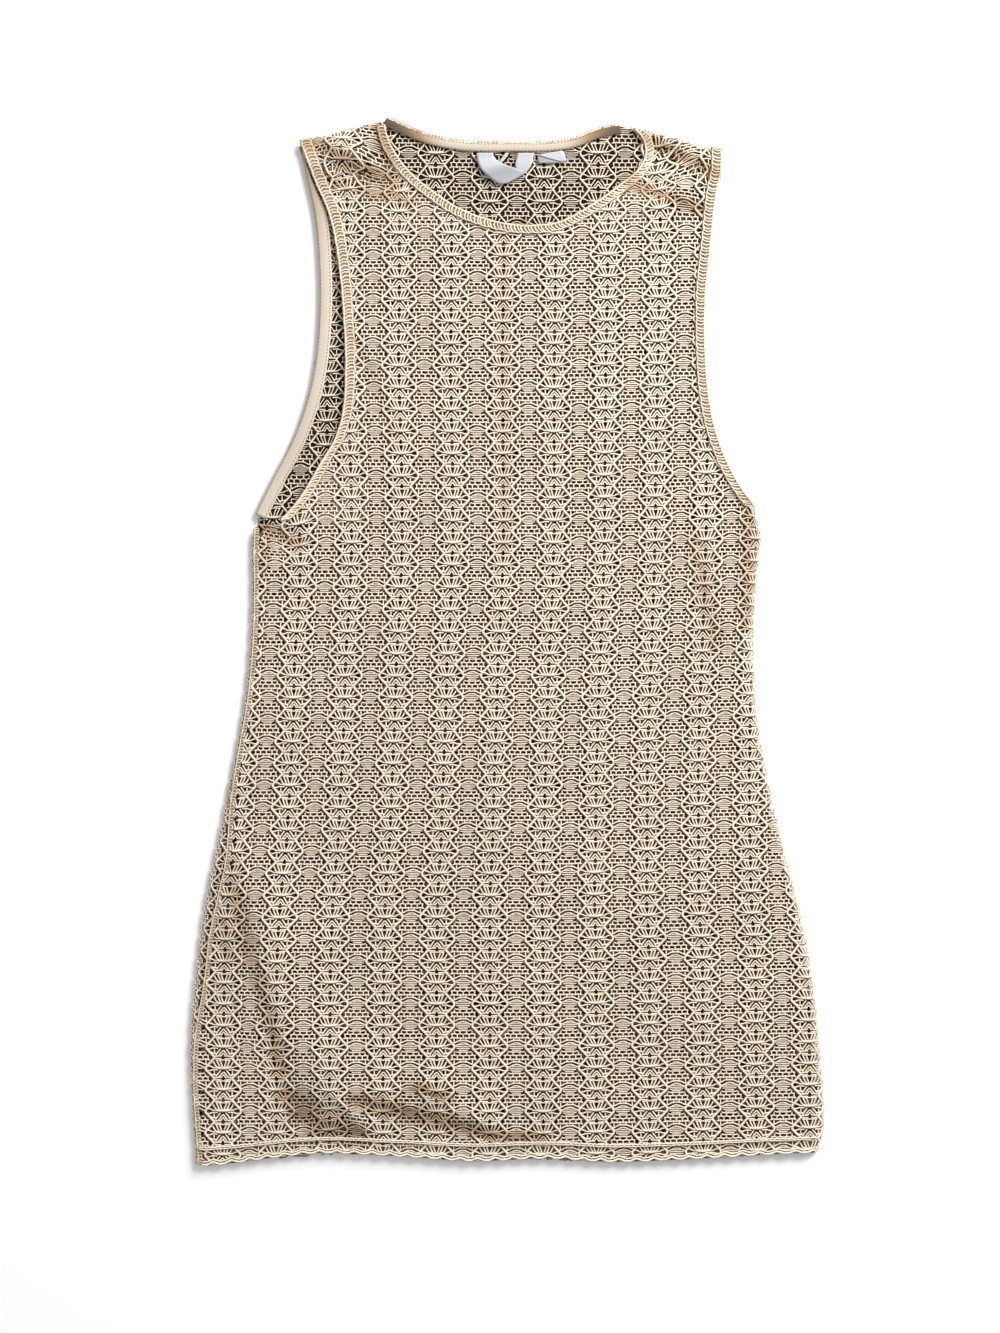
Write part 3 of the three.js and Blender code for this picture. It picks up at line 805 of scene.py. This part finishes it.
# ---------------------------------------------------------------- bands along the edges
def band_runs(node, toward):
    """The two long edges of a band's upper face, the one further toward a direction first."""
    mesh = node_mesh(node)
    keep_faces(mesh, lambda face: face.normal.z > BAND_FACING)
    edges = [edge for edge in mesh.edges if len(edge.link_faces) == 1]
    nearby = {}
    for edge in edges:
        a, b = edge.verts
        nearby.setdefault(a, []).append(b)
        nearby.setdefault(b, []).append(a)
    start = next(iter(nearby))
    loop, before = [start], None
    while True:
        after = next(v for v in nearby[loop[-1]] if v is not before)
        if after is start:
            break
        before = loop[-1]
        loop.append(after)
    count = len(loop)
    places = [v.co.copy() for v in loop]
    mesh.free()

    def turning(i):
        into = (places[i] - places[i - 1]).normalized()
        out = (places[(i + 1) % count] - places[i]).normalized()
        return into.angle(out)

    corners = sorted(sorted(range(count), key=turning)[-4:])
    runs = []
    for first, last in zip(corners, corners[1:] + [corners[0] + count]):
        runs.append([places[i % count] for i in range(first, last + 1)])
    lengths = [sum((b - a).length for a, b in zip(run, run[1:])) for run in runs]
    longest = sorted(range(4), key=lambda i: lengths[i])[-2:]
    one, other = (runs[i] for i in sorted(longest))
    other = other[::-1]

    def reach(run):
        return sum(place.dot(Vector(toward)) for place in run) / len(run)

    return (one, other) if reach(one) > reach(other) else (other, one)


def resampled(run, count):
    """A run of points at even spacing, on a smooth curve through them."""
    steps = [0.0]
    for a, b in zip(run, run[1:]):
        steps.append(steps[-1] + (b - a).length)
    made = []
    for j in range(count + 1):
        place = steps[-1] * j / count
        i = max(k for k in range(len(run) - 1) if steps[k] <= place + 1e-9)
        t = min(1.0, (place - steps[i]) / max(1e-9, steps[i + 1] - steps[i]))
        p0, p1 = run[max(0, i - 1)], run[i]
        p2, p3 = run[i + 1], run[min(len(run) - 1, i + 2)]
        made.append(
            0.5
            * (
                2 * p1
                + (p2 - p0) * t
                + (2 * p0 - 5 * p1 + 4 * p2 - p3) * t * t
                + (3 * p1 - p0 - 3 * p2 + p3) * t * t * t
            )
        )
    return made


def band_form(name, runs, band, tone=unshaded):
    """A crowned band between two runs, with a cloth map across and along it."""
    samples, across, crown, drop = band
    outer, inner = (resampled(run, samples) for run in runs)
    points, faces, units = [], [], []
    for j, (a, b) in enumerate(zip(outer, inner)):
        for k in range(across + 1):
            t = k / across
            place = a.lerp(b, t)
            place.z += (crown * 4 * t * (1 - t) - drop) * MM
            points.append(place)
            units.append((t, j / samples))
    for j in range(samples):
        for k in range(across):
            i = j * (across + 1) + k
            faces.append((i, i + 1, i + across + 2, i + across + 1))
    data = bpy.data.meshes.new(name)
    data.from_pydata(points, [], faces)
    mesh = bmesh.new()
    mesh.from_mesh(data)
    bmesh.ops.recalc_face_normals(mesh, faces=mesh.faces)
    if sum(face.normal.z for face in mesh.faces) < 0:
        bmesh.ops.reverse_faces(mesh, faces=mesh.faces)
    mesh.to_mesh(data)
    mesh.free()
    write_maps(data, units, [tone(*(v.co / MM)) for v in data.vertices])
    data.shade_smooth()
    return new_object(name, data)


def extended(run, ends):
    """A run carried straight on at both ends, by mm: at its lower or left end, then at the other."""
    across = abs(run[0].x - run[-1].x) > abs(run[0].y - run[-1].y)
    backward = (run[0].x, run[0].y) > (run[-1].x, run[-1].y) if across else run[0].y > run[-1].y
    if backward:
        run = run[::-1]
    first = run[0] + (run[0] - run[1]).normalized() * ends[0] * MM
    last = run[-1] + (run[-1] - run[-2]).normalized() * ends[1] * MM
    return [first, *run, last]


def narrowed(runs, start, end):
    """The part of a band from one share of its width to another."""
    outer, inner = (resampled(run, BAND_SAMPLES) for run in runs)
    return [[a.lerp(b, share) for a, b in zip(outer, inner)] for share in (start, end)]


def run_length(run):
    return sum((b - a).length for a, b in zip(run, run[1:]))


def banded(name, form, runs, repeat, chart, **values):
    """Yarn along a band: whole repeats of the chart from one end to the other."""
    count = max(1, round(run_length(runs[0]) / repeat))
    along = {"Map origin": (0.0, 0.0, 0.0), "Map scale": (1.0, 1 / count, 1.0)}
    return knitted(name, form, chart, (0, 0), (0, count - 1), **along, **values)


def thickened(piece, thickness):
    """Closes a one-sided cloth into a thin shell under its face."""
    modifier = piece.modifiers.new("Shell", "SOLIDIFY")
    modifier.thickness = thickness * MM
    modifier.offset = -1.0
    piece.data = evaluated_mesh(piece)
    piece.modifiers.clear()
    return piece


# ---------------------------------------------------------------- materials
# Colours that the painted shade of a place multiplies by: half way and deepest on yarn, and half way on tape.
GOLDEN = (0.70, 0.58, 0.47, 1.0)
DEEP = (0.30, 0.28, 0.26, 1.0)
TAPE_SHADE = (0.56, 0.42, 0.30, 1.0)
YARN_FIBRES = 1500.0
# Plain cloths: name of the colour, roughness, contrast of the patches, fibre scale and bump.
PLAIN = {
    "Turned cloth": ("turned", 1.0, 0.4, 700.0, 0.5),
    "Turned hem": ("hem", 1.0, 0.5, 700.0, 0.5),
    "Dark ground": ("ground", 1.0, 0.4, 900.0, 0.4),
    "Tape thread": ("thread", 0.8, 0.2, 900.0, 0.2),
}


def grey(value):
    return (value, value, value, 1.0)


def fibre_group():
    """Nap of fine fibres: a bump height and a soft patchy mask, in object space. Built once."""
    group = bpy.data.node_groups.get(FIBRE_GROUP)
    if group:
        return group
    group = bpy.data.node_groups.new(FIBRE_GROUP, "ShaderNodeTree")
    for name, default in (("Fibre scale", 1800.0), ("Patch scale", 14.0)):
        made = group.interface.new_socket(name, in_out="INPUT", socket_type="NodeSocketFloat")
        made.default_value = default
    for name in ("Height", "Patches"):
        group.interface.new_socket(name, in_out="OUTPUT", socket_type="NodeSocketFloat")
    given = group.nodes.new("NodeGroupInput").outputs
    out = group.nodes.new("NodeGroupOutput").inputs
    where = group.nodes.new("ShaderNodeTexCoord").outputs["Object"]
    for scale, detail, result in (("Fibre scale", 3.0, "Height"), ("Patch scale", 2.0, "Patches")):
        inputs = {"Vector": where, "Scale": given[scale], "Detail": detail}
        noise = new_node(group, "ShaderNodeTexNoise", inputs)
        group.links.new(noise.outputs["Fac"], out[result])
    return group


class Shader:
    """A material being built round one Principled shader."""

    def __init__(self, name, roughness, sheen=0.0):
        self.material = bpy.data.materials.new(name)
        self.material.use_nodes = True
        self.tree = self.material.node_tree
        self.surface = self.tree.nodes["Principled BSDF"].inputs
        self.surface["Roughness"].default_value = roughness
        self.surface["Sheen Weight"].default_value = sheen
        self.surface["Specular IOR Level"].default_value = 0.2

    def node(self, kind, inputs=(), **settings):
        return new_node(self.tree, kind, inputs, **settings)

    def fibres(self, fibre_scale, patch_scale):
        scales = {"Fibre scale": fibre_scale, "Patch scale": patch_scale}
        return self.node("ShaderNodeGroup", scales, node_tree=fibre_group()).outputs

    def shade(self):
        return self.node("ShaderNodeAttribute", attribute_name=PAINTED_SHADE).outputs["Fac"]

    def waves(self, where, scale):
        """Fine bands across a place's second direction."""
        inputs = {"Scale": scale, "Vector": where}
        return self.node("ShaderNodeTexWave", inputs, bands_direction="Y").outputs["Fac"]

    def ramp(self, factor, stops):
        made = self.node("ShaderNodeValToRGB", {0: factor})
        elements = made.color_ramp.elements
        while len(elements) < len(stops):
            elements.new(0.5)
        for element, (position, value) in zip(elements, stops):
            element.position = position
            element.color = value
        return made.outputs["Color"]

    def multiplied(self, first, second):
        inputs = {0: 1.0, 6: first, 7: second}
        return self.node("ShaderNodeMix", inputs, data_type="RGBA", blend_type="MULTIPLY").outputs[2]

    def bump(self, height, strength, distance):
        inputs = {"Strength": strength, "Distance": distance * MM, "Height": height}
        self.tree.links.new(self.node("ShaderNodeBump", inputs).outputs[0], self.surface["Normal"])

    def paint(self, colour_output):
        self.tree.links.new(colour_output, self.surface["Base Color"])
        return self.material


def yarn_material(name, brown, honey, cream):
    """Matt yarn with painted light and shade: cream where it looks up, brown on its sides, and painted shade
    in the folds.
    """
    made = Shader(name, roughness=0.95, sheen=0.1)
    where = made.node("ShaderNodeUVMap", uv_map=BAKE_MAP).outputs[0]
    parts = made.node("ShaderNodeSeparateXYZ", {0: where}).outputs
    # Painted light and shade by facing: cream on top and underneath, honey and brown down the sides.
    body = made.ramp(parts["X"], [(0.0, cream), (0.28, honey), (0.5, brown), (0.70, honey), (0.90, cream)])
    painted_shade_ramp = made.ramp(parts["Y"], [(0.0, grey(1.0)), (0.5, GOLDEN), (1.0, DEEP)])
    fibres = made.fibres(YARN_FIBRES, 16.0)
    patchy = made.ramp(fibres["Patches"], [(0.3, grey(0.93)), (0.7, grey(1.0))])
    plies = made.ramp(made.fibres(YARN_FIBRES, 460.0)["Patches"], [(0.36, grey(0.80)), (0.58, grey(1.0))])
    made.bump(fibres["Height"], 0.35, 0.25)
    return made.paint(made.multiplied(made.multiplied(made.multiplied(body, plies), painted_shade_ramp), patchy))


def plain_material(name, base, roughness, contrast, fibre_scale, bump):
    """A plain fabric: patchy colour and a fine nap."""
    made = Shader(name, roughness=roughness)
    fibres = made.fibres(fibre_scale, 60.0)
    patchy = made.ramp(fibres["Patches"], [(0.3, grey(1.0 - contrast)), (0.7, grey(1.0))])
    made.bump(fibres["Height"], bump, 0.2)
    return made.paint(made.multiplied(tuple(base), patchy))


def jersey_material(name, base):
    """Smooth jersey: fine ribs across the tape, darkened brown by its painted shade."""
    made = Shader(name, roughness=0.85, sheen=0.1)
    where = made.node("ShaderNodeUVMap", uv_map=CLOTH).outputs[0]
    ribs = made.waves(where, 120.0)
    painted_shade_ramp = made.ramp(made.shade(), [(0.0, grey(1.0)), (0.5, TAPE_SHADE), (1.0, grey(0.1))])
    lines = made.ramp(ribs, [(0.0, grey(0.92)), (1.0, grey(1.0))])
    made.bump(ribs, 0.2, 0.1)
    return made.paint(made.multiplied(made.multiplied(tuple(base), painted_shade_ramp), lines))


def ribbon_material(name, base):
    """White satin ribbon, with painted grey shade where it turns away."""
    made = Shader(name, roughness=0.5, sheen=0.05)
    painted_shade_ramp = made.ramp(made.shade(), [(0.0, grey(0.80)), (0.5, grey(0.48)), (1.0, grey(0.12))])
    where = made.node("ShaderNodeTexCoord").outputs["Object"]
    made.bump(made.waves(where, 500.0), 0.08, 0.1)
    return made.paint(made.multiplied(tuple(base), painted_shade_ramp))


def made_once(name, maker, *args):
    return bpy.data.materials.get(name) or maker(name, *args)


def lace_material(context):
    chosen = context.scene.top_colours
    return made_once("Cream yarn", yarn_material, *map(tuple, (chosen.brown, chosen.honey, chosen.cream)))


def plain_cloth(context, name):
    colour_name, *settings = PLAIN[name]
    return made_once(name, plain_material, getattr(context.scene.top_colours, colour_name), *settings)


# ---------------------------------------------------------------- the top's pieces
def yarn_of(context, scale, sides, wobble, seed):
    """Inputs of the knit for lace yarn."""
    return {
        "Yarn scale": scale,
        "Sides": sides,
        "Wobble": wobble,
        "Seed": seed,
        "Material": lace_material(context),
    }


def is_roll(face):
    """True for the front's faces that come down round the right side of the body."""
    return face.normal.x > FACING and face.calc_center_median().y < ROLL_TOP * MM


def is_return(face):
    """True for the back's faces that come up round the left side and over to the seam."""
    middle = face.calc_center_median()
    over = middle.z > (BACK_FACE + FLAT_TOLERANCE) * MM and face.normal.z > FOLD_FACING
    return middle.x < RETURN_FACES * MM and (over or face.normal.x < -FOLD_FACING)


def side_line(mesh, height, choose):
    """The left side's line at one height in mm, as y and x: the least or the greatest x at each y."""
    rows = {}
    for vertex in mesh.verts:
        x, y, z = vertex.co / MM
        if x < RETURN_INNER and abs(z - height) < FOLD_TOLERANCE:
            key = round(y)
            rows[key] = choose(rows.get(key, x), x)
    return sorted(rows.items())


def knit_panel(context, node, form, pieces, columns, width, sides, seed):
    """The lace chart over a panel's form, in pieces by rows."""
    chart = chart_object("lace chart", LACE_CHART)
    yarn = yarn_of(context, width, sides, context.scene.top_yarn.wobble, seed)
    for name, rows in pieces:
        piece = knitted(name, form, chart, columns, rows, **LACE_MAP, **yarn)
        belongs(piece, [node])
    discard(form, chart)


def knit_front(context):
    sizes = context.scene.top_yarn
    mesh = node_mesh("front_panel")
    keep_faces(mesh, lambda face: face.normal.z > FACING or is_roll(face))
    form = refined("front form", mesh, 2)
    write_cloth(form, front_cloth, front_shade, crease_height)
    yarn = (sizes.front_width, sizes.front_sides, FRONT_SEED)
    knit_panel(context, "front_panel", form, FRONT_PIECES, FRONT_COLUMNS, *yarn)


def knit_back(context):
    sizes = context.scene.top_yarn
    mesh = node_mesh("back_panel")
    level = (BACK_FACE + FLAT_TOLERANCE) * MM
    keep_faces(mesh, lambda face: face.normal.z > FACING and face.calc_center_median().z < level)
    form = refined("back form", mesh, 2)
    write_cloth(form, back_cloth, back_shade)
    yarn = (sizes.back_width, sizes.back_sides, BACK_SEED)
    knit_panel(context, "back_panel", form, BACK_PIECES, BACK_COLUMNS, *yarn)


def knit_return(context):
    sizes = context.scene.top_yarn
    mesh = node_mesh("back_panel")
    fold = side_line(mesh, FOLD_MIDDLE, min)
    keep_faces(mesh, is_return)
    form = refined("return form", mesh, 2)
    write_cloth(form, return_cloth(fold), return_shade)
    yarn = (sizes.front_width, sizes.back_sides, RETURN_SEED)
    knit_panel(context, "back_panel", form, RETURN_PIECES, RETURN_COLUMNS, *yarn)


def knit_band(context, name, runs, band, shade, chart, repeat, yarn, nodes=()):
    """Yarn of a small chart along a band."""
    form = band_form(name + " form", runs, band, shade)
    drawn = chart_object(name + " chart", chart)
    piece = banded(name, form, runs, repeat, drawn, **yarn_of(context, *yarn))
    belongs(piece, nodes)
    discard(form, drawn)


def doubled(context, name, runs, band, cloth="Turned cloth", thickness=BACKING_THICKNESS, nodes=()):
    """A plain strip of doubled cloth behind a band's yarn."""
    strip = band_form(name, runs, band)
    thickened(strip, thickness)
    strip.data.materials.append(plain_cloth(context, cloth))
    belongs(strip, nodes)


def sew_side_seam(context):
    """The cord of the left side seam, and the doubled cloth behind it."""
    mesh = node_mesh("back_panel")
    seam = side_line(mesh, FRONT_FACE, max)
    mesh.free()
    runs = [[Vector((x + aside, y, SEAM_HEIGHT)) * MM for y, x in seam] for aside in SEAM_REACH]
    repeat = context.scene.top_yarn.rim_repeat
    knit_band(context, "side_seam_yarn", runs, SEAM_BAND, seam_shade, RIM_CHART, repeat, SEAM_YARN)
    doubled(context, "side_seam_under", runs, SEAM_BACKING)


def lay_shade_sheet(context):
    """A thin dark sheet inside the back: painted shade that shows dark between the yarns."""
    mesh = node_mesh("back_panel")
    level = FLAT_TOLERANCE * MM
    keep_faces(mesh, lambda face: face.normal.z < -FACING and face.calc_center_median().z < level)
    inset = bmesh.ops.inset_region(mesh, faces=mesh.faces, thickness=SHADE_SHEET_INSET * MM, use_boundary=True)
    bmesh.ops.delete(mesh, geom=inset["faces"], context="FACES")
    bmesh.ops.reverse_faces(mesh, faces=mesh.faces)
    for vertex in mesh.verts:
        vertex.co.z = SHADE_SHEET_HEIGHT * MM
    data = bpy.data.meshes.new("back_ground")
    mesh.to_mesh(data)
    mesh.free()
    ground = thickened(new_object("back_ground", data), SHADE_SHEET_THICKNESS)
    ground.data.materials.clear()
    ground.data.materials.append(plain_cloth(context, "Dark ground"))
    belongs(ground, ["back_panel"])


def turn_edge(context, node, toward):
    """The yarn of one turned edge, and the doubled cloth behind it."""
    runs = band_runs(node, toward)
    repeat = context.scene.top_yarn.edge_repeat
    knit_band(context, node + "_yarn", runs, EDGE_BAND, edge_shade, EDGE_CHART, repeat, EDGE_YARN, [node])
    doubled(context, node + "_under", runs, EDGE_BACKING)


def turn_hem(context):
    """The yarn of the hem, and the doubled cloth behind it."""
    runs = band_runs("hem_front", (0, -1, 0))
    repeat = context.scene.top_yarn.hem_repeat
    knit_band(context, "hem_cords", runs, HEM_BAND, unshaded, HEM_CHART, repeat, HEM_YARN, ["hem_front"])
    doubled(context, "hem_turned", runs, HEM_BACKING, "Turned hem", HEM_THICKNESS, ["hem_front"])


def sew_tape(context, node, runs, shade, chart):
    """A jersey tape between two runs, with its two rows of stitches."""
    form = band_form(node + "_jersey", runs, TAPE_BAND, shade)
    thread = {"Yarn scale": 1.0, "Sides": 4, "Wobble": 0.0, "Material": plain_cloth(context, "Tape thread")}
    stitches = banded(node + "_stitches", form, runs, context.scene.top_yarn.stitch_repeat, chart, **thread)
    belongs(stitches, [])
    thickened(form, TAPE_THICKNESS)
    form.data.materials.append(made_once("Jersey tape", jersey_material, context.scene.top_colours.tape))
    belongs(form, [node])


def knit_rim(context, runs):
    """The back panel's own edge above the neck tape."""
    repeat = context.scene.top_yarn.rim_repeat
    knit_band(context, "neck_rim_back", runs, RIM_BAND, rim_shade, RIM_CHART, repeat, RIM_YARN)


def ribbon_strip(name, rows):
    """A strip of ribbon through rows of border points, smoothed and given its thickness."""
    points, shades, faces = [], [], []
    for (x0, y0), (x1, y1), height, shade in rows:
        for t in (0.0, 0.5, 1.0):
            points.append(Vector((x0 + (x1 - x0) * t, y0 + (y1 - y0) * t, height)) * MM)
            shades.append(shade)
    for j in range(len(rows) - 1):
        for k in range(2):
            i = 3 * j + k
            faces.append((i, i + 3, i + 4, i + 1))
    data = bpy.data.meshes.new(name)
    data.from_pydata(points, [], faces)
    data.attributes.new(PAINTED_SHADE, "FLOAT", "POINT").data.foreach_set("value", shades)
    data.shade_smooth()
    piece = new_object(name, data)
    smooth = piece.modifiers.new("Smooth", "SUBSURF")
    smooth.levels = smooth.render_levels = 2
    smooth.boundary_smooth = "PRESERVE_CORNERS"
    piece.data = evaluated_mesh(piece)
    piece.modifiers.clear()
    return thickened(piece, LABEL_THICKNESS)


# ---------------------------------------------------------------- the stage
def lay_floor(colours):
    data = bpy.data.meshes.new("floor")
    low, high = -FLOOR_REACH, FLOOR_REACH
    corners = [(x, y, FLOOR_HEIGHT) for x, y in ((low, low), (high, low), (high, high), (low, high))]
    data.from_pydata(corners, [], [(0, 1, 2, 3)])
    floor = new_object("floor", data)
    made = Shader("Pale floor", roughness=0.9)
    fibres = made.fibres(40.0, 2.0)
    soft = made.ramp(fibres["Patches"], [(0.0, grey(0.97)), (1.0, grey(1.0))])
    data.materials.append(made.paint(made.multiplied(tuple(colours.floor), soft)))


def set_lights(scene):
    for name, place, size, power in LIGHTS:
        light = bpy.data.lights.new(name, "AREA")
        light.energy = power
        light.size = size
        lamp = bpy.data.objects.new(name, light)
        scene.collection.objects.link(lamp)
        lamp.location = place
        lamp.rotation_euler = (-Vector(place)).to_track_quat("-Z", "Y").to_euler()
    world = bpy.data.worlds.new("Soft room")
    world.use_nodes = True
    background = world.node_tree.nodes["Background"].inputs
    background["Color"].default_value = grey(1.0)
    background["Strength"].default_value = ROOM_LIGHT
    scene.world = world


def set_camera(scene):
    """A camera straight above that takes in VIEW_LENGTH along its longer side."""
    lens = bpy.data.cameras.new("camera")
    camera = bpy.data.objects.new("camera", lens)
    scene.collection.objects.link(camera)
    camera.location = (*CAMERA_MIDDLE, CAMERA_HEIGHT)
    lens.sensor_width = SENSOR
    lens.lens = SENSOR * CAMERA_HEIGHT / VIEW_LENGTH
    lens.clip_end = 50.0
    scene.camera = camera


# ---------------------------------------------------------------- operators
class TOP_OT_front(bpy.types.Operator):
    """Knits the front panel in three pieces"""

    bl_idname = "crochet_top.front"
    bl_label = "Front panel"

    def execute(self, context):
        knit_front(context)
        return {"FINISHED"}


class TOP_OT_back(bpy.types.Operator):
    """Knits the back panel, its return round the left side, the side seam and the dark sheet of painted shade
    """

    bl_idname = "crochet_top.back"
    bl_label = "Back panel"

    def execute(self, context):
        knit_back(context)
        knit_return(context)
        sew_side_seam(context)
        lay_shade_sheet(context)
        return {"FINISHED"}


class TOP_OT_edges(bpy.types.Operator):
    """Knits the turned edges of the front and the hem"""

    bl_idname = "crochet_top.edges"
    bl_label = "Turned edges and hem"

    def execute(self, context):
        for node, toward in EDGES.items():
            turn_edge(context, node, toward)
        turn_hem(context)
        return {"FINISHED"}


class TOP_OT_tapes(bpy.types.Operator):
    """Sews the jersey tapes inside the neck and the left armhole"""

    bl_idname = "crochet_top.tapes"
    bl_label = "Tapes"

    def execute(self, context):
        chart = chart_object("stitch chart", STITCH_CHART)
        whole = [extended(run, NECK_TAPE_ENDS) for run in band_runs("neck_tape", (0, 1, 0))]
        knit_rim(context, narrowed(whole, 0.0, RIM_SHARE))
        sew_tape(context, "neck_tape", narrowed(whole, RIM_SHARE, 1.0), neck_tape_shade, chart)
        whole = [extended(run, ARMHOLE_TAPE_ENDS) for run in band_runs("armhole_tape_left", (-1, 0, 0))]
        sew_tape(context, "armhole_tape_left", narrowed(whole, 0.0, 1.0), armhole_tape_shade, chart)
        discard(chart)
        return {"FINISHED"}


class TOP_OT_labels(bpy.types.Operator):
    """Makes the two blank ribbon labels"""

    bl_idname = "crochet_top.labels"
    bl_label = "Labels"

    def execute(self, context):
        ribbon = made_once("Ribbon", ribbon_material, context.scene.top_colours.ribbon)
        for node, strips in LABELS.items():
            for part, rows in strips.items():
                piece = ribbon_strip(f"{node}_{part}", rows)
                piece.data.materials.append(ribbon)
                belongs(piece, [node])
        return {"FINISHED"}


class TOP_OT_cuts(bpy.types.Operator):
    """Does nothing; it states no flat cut sizes"""

    bl_idname = "crochet_top.cuts"
    bl_label = "Cut sizes"

    def execute(self, context):
        return {"FINISHED"}


class TOP_OT_stage(bpy.types.Operator):
    """Makes the floor, the lights and the camera"""

    bl_idname = "crochet_top.stage"
    bl_label = "Stage"

    def execute(self, context):
        scene = context.scene
        scene.view_settings.view_transform = "Standard"
        lay_floor(scene.top_colours)
        set_lights(scene)
        set_camera(scene)
        return {"FINISHED"}


class TOP_PT_panel(bpy.types.Panel):
    """Lists the pieces of the crochet top and their sizes and colours"""

    bl_idname = "TOP_PT_panel"
    bl_label = "Crochet top"
    bl_space_type = "VIEW_3D"
    bl_region_type = "UI"
    bl_category = "Crochet top"

    def draw(self, context):
        for operator in OPERATORS:
            self.layout.operator(operator.bl_idname)
        for settings in (context.scene.top_yarn, context.scene.top_colours):
            for name in settings.__annotations__:
                self.layout.prop(settings, name)


OPERATORS = (
    TOP_OT_front,
    TOP_OT_back,
    TOP_OT_edges,
    TOP_OT_tapes,
    TOP_OT_labels,
    TOP_OT_cuts,
    TOP_OT_stage,
)
CLASSES = (TopYarn, TopColours, *OPERATORS, TOP_PT_panel)


def register():
    for item in CLASSES:
        bpy.utils.register_class(item)
    bpy.types.Scene.top_yarn = bpy.props.PointerProperty(type=TopYarn)
    bpy.types.Scene.top_colours = bpy.props.PointerProperty(type=TopColours)


def unregister():
    del bpy.types.Scene.top_colours
    del bpy.types.Scene.top_yarn
    for item in reversed(CLASSES):
        bpy.utils.unregister_class(item)


def main():
    register()
    bpy.ops.crochet_top.front()
    bpy.ops.crochet_top.back()
    bpy.ops.crochet_top.edges()
    bpy.ops.crochet_top.tapes()
    bpy.ops.crochet_top.labels()
    bpy.ops.crochet_top.cuts()
    bpy.ops.crochet_top.stage()


if __name__ == "__main__":
    main()
